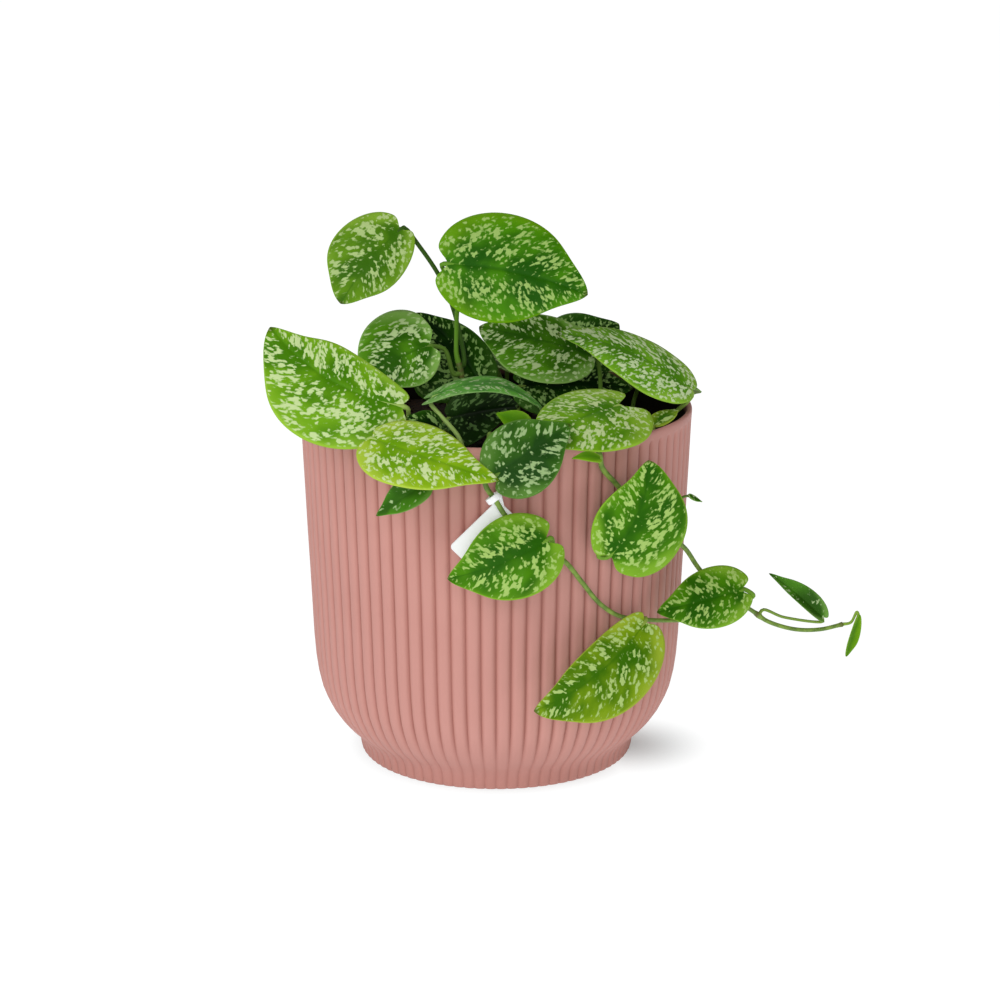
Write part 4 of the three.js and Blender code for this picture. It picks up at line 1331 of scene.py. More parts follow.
def turned(profile: Sequence[Pair], columns: int) -> tuple[np.ndarray, list[tuple[int, ...]]]:
    """A closed body of revolution about Z.

    Args:
        profile: height and radius of each ring, from the middle of the underside, round the
            outside, to the middle of the top.
        columns: how many corners each ring has.

    Returns:
        The corners and the faces. The last two corners are the poles.
    """
    rings = np.array(profile, float)
    angle = full_turn(columns)
    height, radius = rings[:, :1], rings[:, 1:]
    points = np.stack(np.broadcast_arrays(radius * np.cos(angle), radius * np.sin(angle), height), -1)
    poles = [[0.0, 0.0, rings[0, 0]], [0.0, 0.0, rings[-1, 0]]]
    faces = grid_faces(len(rings), columns, closed=True)
    last, low = (len(rings) - 1) * columns, len(rings) * columns
    for column in range(columns):
        beside = (column + 1) % columns
        faces.append((low, beside, column))
        faces.append((low + 1, last + column, last + beside))
    return np.vstack([points.reshape(-1, 3), poles]), faces


@dataclass
class Pot:
    """The cover pot: a turned shell with pressed ribs and a plain lip. Sizes in millimetres.

    Attributes:
        ribs: how many ribs it has.
        columns_per_rib: corners across each rib.
        depth: how deep the creases are.
        power: how narrow the creases are.
        waist: the height below which the creases grow shallower.
        foot_depth: their depth at the foot, as a share.
        full: the height up to which the ribs have their full depth.
        end: the height at which they end.
        foot: height and radius of the rings under the pot.
        wall: the same for the outside, over the crests of the ribs.
        inside: the same for the lip and the cavity.
        shaded_below: the height below which the cavity's wall has painted shade and stain.
        fade: over what height the painted shade and stain grow below that.
    """

    ribs: int = 80
    columns_per_rib: int = 10
    depth: float = 1.35
    power: float = 3.2
    waist: float = 24.0
    foot_depth: float = 0.42
    full: float = 124.1
    end: float = 125.9
    foot: tuple[Pair, ...] = ((0.0, 2.0), (0.0, 25.0), (0.0, 44.0), (0.0, 48.0))
    wall: tuple[Pair, ...] = (
        (0.0, 48.9), (0.25, 49.5), (0.9, 49.9), (2.0, 50.15), (3.6, 50.4), (5.2, 50.75),
        (6.6, 51.35), (8.0, 52.3), (9.4, 53.6), (10.8, 55.1), (12.2, 56.5), (13.6, 57.7),
        (15.0, 58.8), (18.0, 60.8), (22.0, 62.8), (26.0, 64.3), (31.0, 65.4), (37.0, 66.2),
        (45.0, 66.8), (60.0, 67.4), (72.0, 67.9), (85.0, 68.5), (98.0, 69.0), (110.0, 69.5),
        (118.0, 69.8), (123.0, 70.0), (123.8, 70.03), (124.4, 70.06), (124.9, 70.1),
        (125.3, 70.12), (125.7, 70.14), (126.1, 70.16), (126.6, 70.2), (127.4, 70.24),
        (128.1, 70.2), (128.6, 70.02), (128.92, 69.7), (129.0, 69.3),
    )
    inside: tuple[Pair, ...] = (
        (128.92, 68.9), (128.6, 68.6), (128.1, 68.42), (127.2, 68.3), (124.5, 68.2),
        (122.0, 68.1), (112.0, 67.5), (90.0, 66.3), (60.0, 64.6), (45.0, 63.8), (24.0, 60.4),
        (14.0, 55.2), (8.0, 47.6), (3.6, 45.6), (3.0, 44.4), (3.0, 30.0), (3.0, 12.0), (3.0, 2.0),
    )
    shaded_below: float = 128.4
    fade: float = 2.8

    def build(self, finish: bpy.types.Material) -> bpy.types.Object:
        """Turns the shell and presses its ribs.

        Args:
            finish: the pot's material.

        Returns:
            The pot.
        """
        columns = self.ribs * self.columns_per_rib
        points, faces = turned([*self.foot, *self.wall, *self.inside], columns)
        mesh = build_mesh("pot_form", points, faces)
        flute = np.zeros(len(points))
        first, last = len(self.foot), len(self.foot) + len(self.wall)
        for row, (height, _) in enumerate(self.wall, first):
            flute[row * columns:(row + 1) * columns] = self.flute(height)
        flute[(first - 1) * columns:first * columns] = self.foot_depth / 2
        store(mesh, "flute", flute)
        # Marks the inner wall near the soil for painted shade with some soil stain.
        shade_and_stain = np.clip((self.shaded_below - points[:, 2]) / self.fade, 0.0, 1.0)
        shade_and_stain[:last * columns] = 0.0
        store(mesh, "inside", shade_and_stain)
        return RibRecipe().run(mesh, "cover_pot", finish, {
            "Ribs": float(self.ribs), "Depth": self.depth * MM, "Power": self.power})

    def flute(self, height: float) -> float:
        """How deep the creases are at a height.

        Args:
            height: the height in millimetres.

        Returns:
            Their depth as a share of the full one.
        """
        share = min(max((self.end - height) / (self.end - self.full), 0.0), 1.0)
        soft = self.foot_depth + (1 - self.foot_depth) * min(height / self.waist, 1.0) ** 2
        return math.sqrt(share) * soft


@dataclass
class Soil:
    """The soil: a body that fills the pot, with crumbs over its surface. Sizes in millimetres.

    Attributes:
        top: the height of its surface at the edge.
        radius: the radius of its surface.
        crown: how much higher the middle is.
        bump: how high its lumps are.
        lumps: a share of that height and the width of the lumps that have it.
        rings: rows of corners from the middle of the surface to its edge.
        sectors: corners round it.
        body: height and radius of the rings under the surface.
        density: crumbs for each square millimetre.
        crumb: the radius of the smallest and of the largest crumb.
        seed: what sets the crumbs' places.
    """

    top: float = 117.0
    radius: float = 67.3
    crown: float = 3.0
    bump: float = 1.0
    lumps: tuple[Pair, ...] = ((1.0, 14.0), (0.5, 5.0), (0.3, 2.2))
    rings: int = 44
    sectors: int = 176
    body: tuple[Pair, ...] = (
        (3.3, 2.0), (3.3, 30.0), (3.3, 45.6), (8.3, 47.2), (14.3, 54.8), (24.3, 60.0), (45.3, 63.4),
        (90.0, 65.9),
    )
    density: float = 0.11
    crumb: Pair = (0.35, 1.7)
    seed: int = 11

    def build(self, finish: bpy.types.Material) -> bpy.types.Object:
        """Shapes the soil and scatters its crumbs.

        Args:
            finish: the soil's material.

        Returns:
            The soil.
        """
        surface = [(self.top, self.radius * ring / self.rings) for ring in range(self.rings, 0, -1)]
        points, faces = turned([*self.body, *surface], self.sectors)
        shown = np.abs(points[:, 2] - self.top) < TINY
        for index in np.flatnonzero(shown):
            points[index, 2] = self.height(*points[index, :2])
        mesh = build_mesh("soil_form", points, faces)
        store(mesh, "open", shown.astype(float))
        small, large = self.crumb
        return CrumbRecipe().run(mesh, "potting_soil", finish, {
            "Density": self.density / MM ** 2, "Small": small * MM, "Large": large * MM, "Seed": self.seed})

    def height(self, x: float, y: float) -> float:
        """How high the surface is at a place, in millimetres.

        Args:
            x: the place's way to the right of the middle.
            y: its way back.

        Returns:
            The height.
        """
        share = (x * x + y * y) / self.radius ** 2
        place = np.array([x, y, 0.0])
        lumps = sum(part * wobble(place, seed, size) for seed, (part, size) in enumerate(self.lumps, 1))
        return self.top + self.crown * (1 - share) + self.bump * lumps * (1 - share ** 6)


@dataclass
class Label:
    """The plant label: a bare plate on its corner, with a loop round a vine. Sizes in millimetres.

    Attributes:
        width: the plate's width.
        height: its height.
        thickness: its thickness.
        corner: the radius of its three free corners.
        corner_steps: corners of the mesh on each of them.
        tab_width: how far from the fourth corner the tab to the loop starts.
        tab_reach: how far the tab stands out past the corner.
        tab_set: how far each side of the tab is set out.
        bevel: how far the plate's rims are bevelled.
        centre: the middle of the plate.
        turn: how far the plate is turned in its own plane.
        vine: the stem that it hangs on.
        share: where it hangs, as a share of that stem's length.
        inner: the loop's inner radius.
        outer: its outer radius.
        deep: its width along the stem.
        sides: corners round the loop.
        section: corners round the section of its ring.
        roundness: how round that section is: one is round, and nought is square.
        sharp: edges with a steeper turn than this stay sharp.
    """

    width: float = 23.0
    height: float = 20.0
    thickness: float = 0.7
    corner: float = 1.5
    corner_steps: int = 8
    tab_width: float = 3.0
    tab_reach: float = 2.1
    tab_set: float = 0.3
    bevel: float = 0.16
    centre: Point = (-0.4, -72.9, 97.0)
    turn: float = math.pi / 4
    vine: str = "vine_front"
    share: float = 0.36
    inner: float = 1.75
    outer: float = 2.75
    deep: float = 2.2
    sides: int = 48
    section: int = 16
    roundness: float = 0.5
    sharp: float = math.radians(35)

    def build(self, vine: Route, finish: bpy.types.Material) -> bpy.types.Object:
        """Builds the plate and its loop as one piece.

        Args:
            vine: the route of the vine that it hangs on.
            finish: the label's material.

        Returns:
            The label.
        """
        plate, plate_faces = self.plate()
        loop, loop_faces = self.loop(vine)
        moved = [tuple(corner + len(plate) for corner in face) for face in loop_faces]
        mesh = build_mesh("plant_label", np.vstack([plate, loop]), plate_faces + moved)
        mesh.set_sharp_from_angle(angle=self.sharp)
        mesh.materials.append(finish)
        return add_object("plant_label", mesh)

    def outline(self) -> np.ndarray:
        """The outline of the plate, against the clock, seen from its front.

        Returns:
            Its corners: three round ones, and a tab at the fourth.
        """
        half = np.array([self.width / 2, self.height / 2])
        line = []
        for index, (x, y) in enumerate(((-1, 1), (-1, -1), (1, -1)), 1):
            middle = np.array([x, y]) * (half - self.corner)
            for angle in np.linspace(0, math.pi / 2, self.corner_steps) + math.pi / 2 * index:
                line.append(middle + self.corner * np.array([math.cos(angle), math.sin(angle)]))
        for x, y in ((0, -self.tab_width), (self.tab_reach, self.tab_set),
                     (self.tab_set, self.tab_reach), (-self.tab_width, 0)):
            line.append([half[0] + x, half[1] + y])
        return np.array(line)

    def plate(self) -> tuple[np.ndarray, list[tuple[int, ...]]]:
        """The plate, turned upright on its corner.

        Returns:
            Its corners and faces.
        """
        line = self.outline()
        slim = line * (1 - 2 * self.bevel / self.width)
        half = self.thickness / 2
        layers = [(slim, -half), (line, self.bevel - half), (line, half - self.bevel), (slim, half)]
        flat = np.vstack([np.column_stack([xy, np.full(len(xy), z)]) for xy, z in layers])
        faces = list(grid_faces(len(layers), len(line), closed=True))
        faces.append(tuple(range(len(line)))[::-1])
        faces.append(tuple(range(len(flat) - len(line), len(flat))))
        upright = Euler((math.pi / 2, 0, 0)).to_matrix() @ Euler((0, 0, self.turn)).to_matrix()
        return flat @ np.array(upright).T + np.array(self.centre), faces

    def loop(self, vine: Route) -> tuple[np.ndarray, list[tuple[int, ...]]]:
        """The loop round the vine.

        Args:
            vine: the route of the vine.

        Returns:
            Its corners and faces.
        """
        middle, half = (self.inner + self.outer) / 2, np.array([self.outer - self.inner, self.deep]) / 2
        section = []
        for angle in full_turn(self.section):
            swing = np.array([math.cos(angle), math.sin(angle)])
            section.append(np.sign(swing) * np.abs(swing) ** self.roundness * half)
        points = []
        for angle in full_turn(self.sides):
            out = np.array([math.cos(angle), math.sin(angle), 0.0])
            points.extend(out * (middle + x) + np.array([0.0, 0.0, z]) for x, z in section)
        faces = []
        for side in range(self.sides):
            low, high = side * self.section, (side + 1) % self.sides * self.section
            for index in range(self.section):
                beside = (index + 1) % self.section
                faces.append((low + index, high + index, high + beside, low + beside))
        heading = Vector(vine.heading(self.share))
        turn = np.array(Vector((0, 0, 1)).rotation_difference(heading).to_matrix())
        return np.array(points) @ turn.T + vine.at(self.share), faces


@dataclass
class Growth:
    """Where the stems run and where stalks start. Sizes in millimetres.

    Attributes:
        soil: the height of the packed soil.
        hole: the bottom of a stem's hole in it.
        clear: the height up to which a stem or stalk in the soil rises straight.
        stem: the radius of a packed stem.
        seat: the gap between a packed stalk and its stem.
        straight: how far a packed stalk runs straight before it bends.
        sunk: how far inside a stem's end the stalk that carries it on starts, besides the gap.
        core: how far from a stem's middle a side stalk starts, as a share of the stem's radius.
        routes: the route of each stem, by its name.
    """

    soil: float = 117.0
    hole: float = 108.3
    clear: float = 121.0
    stem: float = 1.2
    seat: float = 0.3
    straight: float = 1.0
    sunk: float = 0.9
    core: float = 0.35
    routes: dict[str, Route] = field(default_factory=dict)

    def lay(self, stem: Stem) -> None:
        """Lays the route of a stem."""
        self.routes[stem.name] = Route([*self.rooted(stem.root), *stem.route])

    def rooted(self, root: InSoil) -> list[Point]:
        """The upright start of a stem or stalk in the soil."""
        return [(root.x, root.y, height) for height in (self.hole, self.soil - 2 * self.straight, self.clear)]

    def start(self, root: OnStem | InSoil, towards: Point) -> list[Sequence[float]]:
        """Where a stalk starts.

        Args:
            root: what it grows from.
            towards: the next point that it passes.

        Returns:
            The first points of its route.
        """
        if isinstance(root, InSoil):
            return self.rooted(root)
        route = self.routes[root.stem]
        centre, heading = route.at(root.share), route.heading(root.share)
        away, reach = heading, self.seat - self.sunk
        if root.share < 1:
            away = np.array(towards) - centre
            away = unit(away - heading * (away @ heading))
            reach = self.stem * self.core
        foot = centre + away * reach
        return [foot, foot + away * (self.straight + self.stem + self.seat - reach)]


@dataclass
class Vine:
    """One stem of the plant, swollen at its joints. Sizes in millimetres.

    Attributes:
        name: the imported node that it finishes.
        joints: shares of its length where leaves grow on it.
        girth: its radius.
        swell: how much wider it is at a joint, as a share.
        ring: half the length of a joint.
        scar: how brown a joint's ring is, how far before the joint it lies, and half its length.
        slim: how much thinner the far end is, as a share.
        blunt: how wide the very end is, as a share.
        rounding: the length over which the end rounds off.
        step: the spacing of its corners.
        sides: the corners round it.
    """

    name: str
    joints: tuple[float, ...]
    girth: float = 1.0
    swell: float = 0.34
    ring: float = 1.5
    scar: Triple = (0.8, 1.1, 0.5)
    slim: float = 0.28
    blunt: float = 0.25
    rounding: float = 1.2
    step: float = 0.7
    sides: int = 14

    def build(self, growth: Growth, recipe: TubeRecipe, finish: bpy.types.Material) -> bpy.types.Object:
        """Lays the path of the stem and turns it into a tube.

        Args:
            growth: the routes of the stems.
            recipe: what turns paths into tubes.
            finish: the stem's material.

        Returns:
            The stem.
        """
        route = growth.routes[self.name]
        count = int(route.length / self.step)
        share = np.linspace(0, 1, count)
        along = share * route.length
        bulge, scar = np.zeros(count), np.zeros(count)
        brown, before, half = self.scar
        for joint in self.joints:
            away = along - joint * route.length
            bulge += np.exp(-(away / self.ring) ** 2)
            scar += brown * np.exp(-((away + before) / half) ** 2)
        end = np.clip((route.length - along) / self.rounding, 0, 1)
        tip = self.blunt + (1 - self.blunt) * np.sqrt(1 - (1 - end) ** 2)
        radius = self.girth * (1 - self.slim * share + self.swell * np.minimum(bulge, 1)) * tip
        mesh = build_mesh(f"{self.name}_path", route.at(share), [], [(n, n + 1) for n in range(count - 1)])
        store(mesh, "girth", radius * MM)
        store(mesh, "scar", np.minimum(scar, 1))
        store(mesh, "growth", np.column_stack([np.zeros(count), along, np.full(count, len(self.name))]))
        return recipe.run(mesh, f"{self.name}_skin", finish, {"Sides": self.sides})


class Midrib:
    """The bent midrib of a leaf, read by distances from the notch in millimetres.

    Attributes:
        leaf: the leaf.
        length: how far the tip is from the notch.
    """

    def __init__(self, leaf: Leaf) -> None:
        """Takes the midrib of a leaf.

        Args:
            leaf: which leaf.
        """
        self.leaf = leaf
        self.length = math.dist(leaf.base, leaf.tip)

    def at(self, distance: "float | np.ndarray") -> tuple[np.ndarray, np.ndarray, np.ndarray, np.ndarray]:
        """The midrib at distances from the notch.

        Args:
            distance: the distances, of any shape.

        Returns:
            The place, the heading, the way up and the way to the right at each distance.
        """
        leaf, length = self.leaf, self.length
        base, tip = np.array(leaf.base, float), np.array(leaf.tip, float)
        along = (tip - base) / length
        right = unit(np.cross(along, leaf.face))
        up = unit(np.cross(right, along))
        distance = np.asarray(distance, float)[..., None]
        share = np.clip(distance / length, 0, 1)
        hump, slope = 4 * share * (1 - share), 4 * (1 - 2 * share) / length
        heading = unit(along + up * leaf.arch * slope + right * leaf.bow * slope)
        place = (base + along * share * length + up * leaf.arch * hump + right * leaf.bow * hump
                 + heading * (distance - share * length))
        normal = unit(up - heading * (heading @ up)[..., None])
        return place, heading, normal, np.cross(heading, normal)


@dataclass
class Blade:
    """The form of the blades. Sizes in millimetres.

    Attributes:
        stations: rows of corners from the notch to the tip.
        columns: corners from margin to margin.
        crowd: how much the columns crowd by the midrib.
        first: the rim angle of the first row, from the notch.
        last: the rim angle of the last row.
        knee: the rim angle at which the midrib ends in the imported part.
        lag: how the rows spread along the midrib.
        notch: how wide the notch is, as a share of the half width.
        spur: the share of the length that the drawn-out tip takes.
        spur_power: how suddenly the tip is drawn out.
        point: how sharp the tip is; less is blunter.
        thick: the blade's thickness by the midrib.
        thin: its thickness at the margin.
        grown: the width from which a blade has its full relief.
        groove: how deep the midrib is sunk.
        groove_half: half the width of that groove.
        quilt: how high the blade swells between its side veins.
        vein: the spacing of the side veins.
        slant: how far a side vein runs forward for each millimetre outwards by the notch, and how
            much farther by the tip.
        slant_range: the shares of the length between which that grows.
        ripple: how much the margin waves.
        ripple_size: how wide the waves are.
    """

    stations: int = 60
    columns: int = 33
    crowd: float = 1.25
    first: float = 0.03
    last: float = 3.134
    knee: float = 3.12
    lag: float = 1.3
    notch: float = 0.2
    spur: float = 0.16
    spur_power: float = 30.0
    point: float = 0.1
    thick: float = 0.6
    thin: float = 0.26
    grown: float = 32.0
    groove: float = 0.28
    groove_half: float = 0.6
    quilt: float = 0.11
    vein: float = 4.4
    slant: Pair = (0.1, 0.75)
    slant_range: Pair = (-0.2, 1.0)
    ripple: float = 0.6
    ripple_size: float = 13.0

    def rim(self, leaf: Leaf, station: np.ndarray, length: float) -> tuple[np.ndarray, np.ndarray]:
        """The margin of a blade.

        Args:
            leaf: which leaf.
            station: rim angles, from nought at the notch to pi at the tip.
            length: the blade's length.

        Returns:
            How far out, as a share of the half width, and how far along, in millimetres.
        """
        widest = math.acos((math.sqrt(1 + 8 * leaf.taper ** 2) - 1) / (4 * leaf.taper))
        most = math.sin(widest) * (1 + leaf.taper * math.cos(widest))
        out = (np.sin(station) * (1 + leaf.taper * np.cos(station)) / most) ** (1 / leaf.full)
        out = out * (1 - np.exp((station - math.pi) / self.point))
        share = (1 - np.cos(station)) / 2
        spur = self.spur * length
        body = (length + leaf.lobe - spur) * share + spur * share ** self.spur_power
        notch = leaf.lobe * (1 - share) * np.exp(-(out / self.notch) ** 2)
        return out, body + notch - leaf.lobe

    def skins(self, midrib: Midrib, seed: float) -> tuple[np.ndarray, np.ndarray, np.ndarray, np.ndarray]:
        """The two skins of a blade.

        Args:
            midrib: the leaf's midrib.
            seed: what sets its ripples apart.

        Returns:
            Corners of the upper side and of the underside, how far across and along the veins and
            at which share of the length each is, and how near the margin.
        """
        leaf, length, half = midrib.leaf, midrib.length, midrib.leaf.width / 2
        station = np.linspace(self.first, self.last, self.stations)[:, None]
        spread = np.linspace(-1, 1, self.columns)
        column = (np.sign(spread) * np.abs(spread) ** self.crowd)[None, :]
        out, rim = self.rim(leaf, station, length)
        middle = length * np.minimum(station / self.knee, 1) ** self.lag
        edge = np.broadcast_to(np.abs(column), (self.stations, self.columns))
        distance = middle + (rim - middle) * edge
        across = column * out * half * (1 + leaf.lean * np.sign(column))
        place, _, normal, right = midrib.at(distance)
        flat = place + right * across[..., None]

        slant, more = self.slant
        veins = distance - (slant + more * np.clip(distance / length, *self.slant_range)) * np.abs(across)
        size = min(leaf.width / self.grown, 1.0)
        reach = np.abs(across) / half
        lift = leaf.cup * reach ** 2 + leaf.fold * reach
        waves = np.array([[wobble(spot, seed, self.ripple_size) for spot in row] for row in flat])
        lift = lift + self.ripple * size * waves * (edge * out) ** 1.5
        swell = self.quilt * size * np.cos(math.tau * veins / self.vein) * np.sin(math.pi * edge) * out
        hollow = np.exp(-(across / self.groove_half) ** 2) * np.sin(np.minimum(station, math.pi)) ** 0.5
        sink = self.groove * size * hollow
        thick = self.thin + (self.thick - self.thin) * (1 - edge ** 3) * np.sqrt(out)
        flat = flat + normal * (lift + swell)[..., None]
        top = flat + normal * (thick / 2 - sink)[..., None]
        low = flat - normal * (thick / 2 + sink / 2)[..., None]
        return top, low, np.stack([across, veins, distance / length], -1), edge

    def faces(self) -> list[tuple[int, int, int, int]]:
        """The faces of a blade.

        Returns:
            Corner numbers of the two skins, the two margins, the notch and the tip.
        """
        rows, columns = self.stations, self.columns
        low = rows * columns
        faces = grid_faces(rows, columns) + grid_faces(rows, columns, first=low, flip=True)
        for row in range(rows - 1):
            left, beyond = row * columns, (row + 1) * columns
            faces.append((left, beyond, low + beyond, low + left))
            right, past = left + columns - 1, beyond + columns - 1
            faces.append((right, low + right, low + past, past))
        last = (rows - 1) * columns
        for column in range(columns - 1):
            faces.append((column, low + column, low + column + 1, column + 1))
            end = last + column
            faces.append((end, end + 1, low + end + 1, low + end))
        return faces


@dataclass
class Stalk:
    """The form of the leaf stalks, which run on as a ridge under the blade. Sizes in millimetres.

    Attributes:
        radius: a stalk's radius.
        least: the share of it that the stalk of the narrowest leaf has.
        grown: the leaf width over which a stalk would gain a whole radius.
        steps: corners along the stalk.
        neck_back: how far behind the notch the stalk bends at most.
        neck_short: how far behind it the stalk of a leaf without lobes bends.
        neck_share: how much farther it bends, as a share of the lobes' reach.
        neck_drop: how far under the blade it bends.
        seat: how far under the midrib it meets the blade.
        waist: how wide it is between its ends, as a share of the radius.
        foot: how much wider its foot is, and over what length.
        joint: the same for its other end.
        ridge_steps: corners along the ridge.
        ridge: the shares of the blade's length between which the ridge runs.
        ridge_end: the share at which it would vanish.
        ridge_girth: its radius at the notch, as a share of the stalk's.
        ridge_fade: how suddenly it gets thinner; one is even.
        ridge_drop: how much deeper it lies by the notch than by the tip.
    """

    radius: float = 0.92
    least: float = 0.45
    grown: float = 40.0
    steps: int = 34
    neck_back: float = 2.2
    neck_short: float = 0.6
    neck_share: float = 0.35
    neck_drop: float = 1.4
    seat: float = 0.45
    waist: float = 0.86
    foot: Pair = (0.3, 2.5)
    joint: Pair = (0.14, 2.0)
    ridge_steps: int = 12
    ridge: Pair = (0.05, 0.8)
    ridge_end: float = 0.86
    ridge_girth: float = 0.72
    ridge_fade: float = 0.8
    ridge_drop: float = 0.08

    def route(self, midrib: Midrib, growth: Growth) -> Route:
        """The route of a stalk.

        Args:
            midrib: the leaf's midrib.
            growth: where stalks start.

        Returns:
            The route, from its root to the blade.
        """
        leaf = midrib.leaf
        place, heading, normal, _ = midrib.at(0.0)
        back = min(self.neck_back, self.neck_short + leaf.lobe * self.neck_share)
        neck = place - heading * back - normal * self.neck_drop
        rest = [*leaf.via, neck, place - normal * self.seat]
        return Route([*growth.start(leaf.root, rest[0]), *rest])

    def path(self, midrib: Midrib, growth: Growth) -> tuple[np.ndarray, np.ndarray]:
        """The path of a stalk and of the ridge that it runs on as.

        Args:
            midrib: the leaf's midrib.
            growth: where stalks start.

        Returns:
            Its corners, and the radius at each.
        """
        route = self.route(midrib, growth)
        share = np.linspace(0, 1, self.steps)
        radius = self.radius * min(1.0, self.least + midrib.leaf.width / self.grown)
        foot = self.foot[0] * np.exp(-share * route.length / self.foot[1])
        joint = self.joint[0] * np.exp(-(1 - share) * route.length / self.joint[1])
        girth = radius * (self.waist + foot + joint)

        under = np.linspace(*self.ridge, self.ridge_steps)
        place, _, up, _ = midrib.at(under * midrib.length)
        ridge = place - up * (self.seat + self.ridge_drop * (1 - under))[..., None]
        slim = radius * self.ridge_girth * (1 - under / self.ridge_end) ** self.ridge_fade
        return np.vstack([route.at(share), ridge]), np.concatenate([girth, slim])


@dataclass
class Foliage:
    """Builds leaves: a heart-shaped blade that grows out of its own stalk.

    Attributes:
        blade: the form of the blades.
        stalk: the form of the stalks.
        sides: corners round a stalk.
        seeds: how many different seeds leaves can have.
    """

    blade: Blade = field(default_factory=Blade)
    stalk: Stalk = field(default_factory=Stalk)
    sides: int = 12
    seeds: int = 97

    def build(self, leaf: Leaf, growth: Growth, recipe: TubeRecipe,
              finish: bpy.types.Material) -> bpy.types.Object:
        """Builds one leaf as one piece.

        Args:
            leaf: which leaf.
            growth: where stalks start.
            recipe: what turns the stalk's path into a tube.
            finish: the leaf's material.

        Returns:
            The leaf.
        """
        seed = float(sum(map(ord, leaf.name)) % self.seeds)
        midrib = Midrib(leaf)
        top, low, ways, edge = self.blade.skins(midrib, seed)
        path, girth = self.stalk.path(midrib, growth)
        skin, tail = top.size // 3, len(path)
        edges = [(n, n + 1) for n in range(2 * skin, 2 * skin + tail - 1)]
        points = np.vstack([top.reshape(-1, 3), low.reshape(-1, 3), path])
        mesh = build_mesh(f"{leaf.name}_form", points, self.blade.faces(), edges)

        side = np.concatenate([np.zeros(skin), np.ones(skin), np.zeros(tail)])
        ways = np.vstack([ways.reshape(-1, 3), ways.reshape(-1, 3), np.zeros((tail, 3))])
        edge = np.concatenate([edge.ravel(), edge.ravel(), np.zeros(tail)])
        store(mesh, "growth", np.column_stack([ways[:, :2], np.full(len(points), seed)]))
        store(mesh, "blade", np.column_stack([edge, ways[:, 2], side]))
        store(mesh, "girth", np.concatenate([np.zeros(2 * skin), girth * MM]))
        store(mesh, "stalk", np.concatenate([np.zeros(2 * skin), np.ones(tail)]))
        return recipe.run(mesh, f"{leaf.name}_grown", finish, {"Sides": self.sides})


# ------------------------------------------------------------------------------------------ studio


@dataclass
class Lamp:
    """A soft square light.

    Attributes:
        name: what it does.
        place: where it hangs, in metres.
        size: the length of its sides, in metres.
        power: its power in watts.
    """

    name: str
    place: Point
    size: float
    power: float


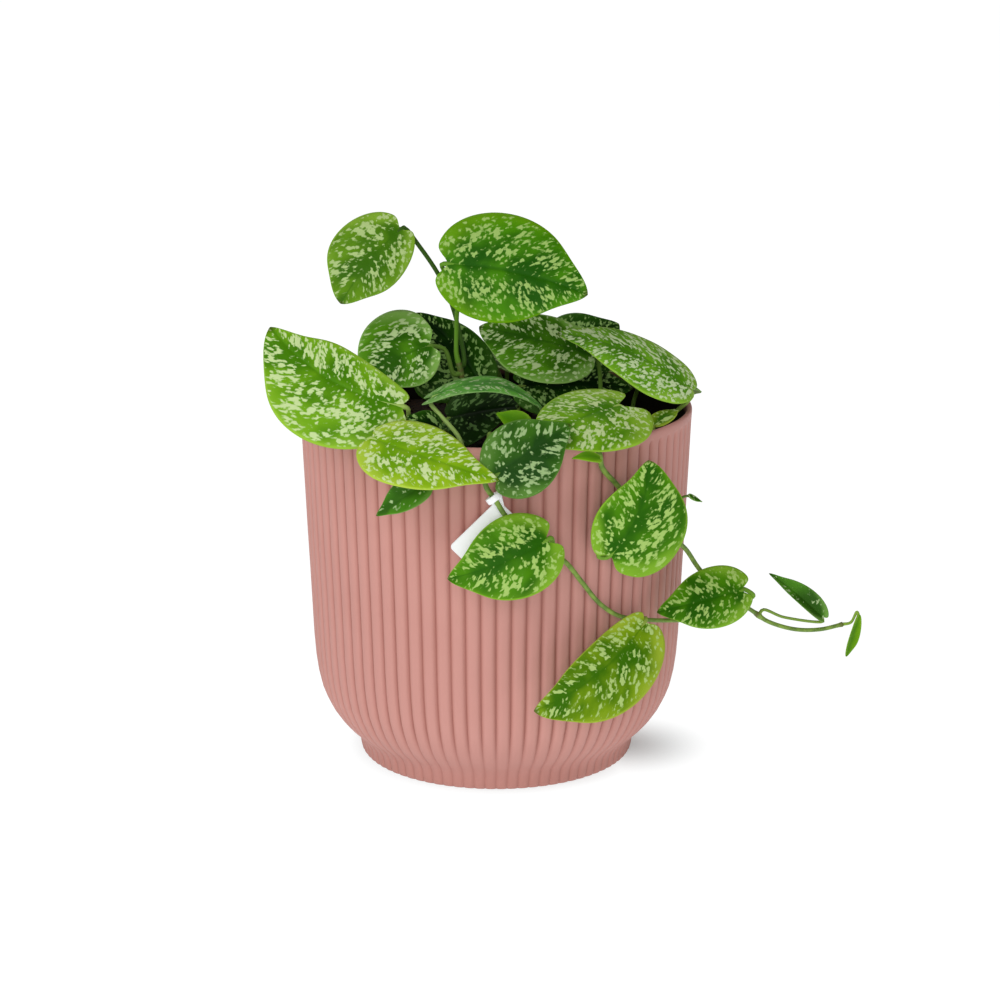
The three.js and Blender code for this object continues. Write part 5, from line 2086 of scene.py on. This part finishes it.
@dataclass
class Studio:
    """A white floor with a painted shadow by the pot's foot, soft light from the left and front, and the
    camera.

    Attributes:
        floor: the length of the floor's sides, in metres.
        world: how strong the light from all round is.
        sky: the colour of that light.
        aim: the point that the lamps look at, in metres.
        camera: where the camera stands, in metres.
        tilt: how far it is tilted up from looking straight down, in degrees.
        lens: its focal length in millimetres.
        sensor: the width of its sensor in millimetres.
        lamps: the lamps.
    """

    floor: float = 64.0
    world: float = 0.2
    sky: tuple[float, float, float, float] = (1.0, 0.88, 0.82, 1.0)
    aim: Point = (0.0, 0.0, 0.08)
    camera: Point = (0.00138, -0.86724, 0.32194)
    tilt: float = 75.2
    lens: float = 88.96
    sensor: float = 36.0
    lamps: tuple[Lamp, ...] = (
        Lamp("key", (-1.2, -1.35, 1.6), 1.4, 20.0),
        Lamp("fill", (0.0, -1.9, 0.6), 1.0, 12.5),
        Lamp("back", (-0.3, 1.2, 1.6), 1.2, 4.0),
    )

    def build(self) -> None:
        """Sets up the whole studio."""
        bpy.context.scene.view_settings.view_transform = "Standard"
        self.lay_floor()
        self.light_world()
        for lamp in self.lamps:
            self.hang(lamp)
        self.set_camera()

    def lay_floor(self) -> None:
        """Lays the floor."""
        half = self.floor / 2 / MM
        corners = np.array([[-half, -half, 0], [half, -half, 0], [half, half, 0], [-half, half, 0]])
        mesh = build_mesh("floor", corners, [(0, 1, 2, 3)])
        mesh.materials.append(FloorFinish().make())
        floor = add_object("floor", mesh)

    def light_world(self) -> None:
        """Sets the light from all round."""
        world = bpy.data.worlds.new("studio")
        bpy.context.scene.world = world
        world.use_nodes = True
        sky = world.node_tree.nodes["Background"]
        sky.inputs["Color"].default_value = self.sky
        sky.inputs["Strength"].default_value = self.world

    def hang(self, lamp: Lamp) -> None:
        """Hangs a lamp and turns it to the plant.

        Args:
            lamp: which lamp.
        """
        light = bpy.data.lights.new(lamp.name, "AREA")
        light.size, light.energy = lamp.size, lamp.power
        made = bpy.data.objects.new(lamp.name, light)
        made.location = lamp.place
        made.rotation_euler = (Vector(self.aim) - made.location).to_track_quat("-Z", "Y").to_euler()
        bpy.context.scene.collection.objects.link(made)

    def set_camera(self) -> None:
        """Sets the camera in front of the plant."""
        lens = bpy.data.cameras.new("camera")
        lens.lens, lens.sensor_width = self.lens, self.sensor
        camera = bpy.data.objects.new("camera", lens)
        camera.location = self.camera
        camera.rotation_euler = (math.radians(self.tilt), 0, 0)
        bpy.context.scene.collection.objects.link(camera)
        bpy.context.scene.camera = camera


# -------------------------------------------------------------------------------------------- main


def settle(piece: bpy.types.Object, node: str) -> None:
    """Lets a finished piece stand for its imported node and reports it.

    Args:
        piece: the finished piece.
        node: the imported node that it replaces.
    """
    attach(piece, BODY)
    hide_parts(node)
    LOG.info("%s replaces %s: %d faces", piece.name, node, len(piece.data.polygons))


def main() -> None:
    """Builds every piece, then the studio."""
    logging.basicConfig(level=logging.INFO, format="%(name)s: %(message)s")
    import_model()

    settle(Pot().build(PotFinish().make()), "pot")
    settle(Soil().build(SoilFinish().make()), "soil")

    growth = Growth()
    for stem in STEMS:
        growth.lay(stem)
    label = Label()
    settle(label.build(growth.routes[label.vine], LabelFinish().make()), "label")

    tubes = TubeRecipe()
    bark = StemFinish().make()
    for stem in STEMS:
        joints = tuple(leaf.root.share for leaf in LEAVES
                       if isinstance(leaf.root, OnStem) and leaf.root.stem == stem.name)
        settle(Vine(stem.name, joints).build(growth, tubes, bark), stem.name)

    foliage = Foliage()
    skins = {tone: LeafFinish(tone).make() for tone in Tone}
    for leaf in LEAVES:
        settle(foliage.build(leaf, growth, tubes, skins[leaf.tone]), leaf.name)

    Studio().build()


if __name__ == "__main__":
    main()
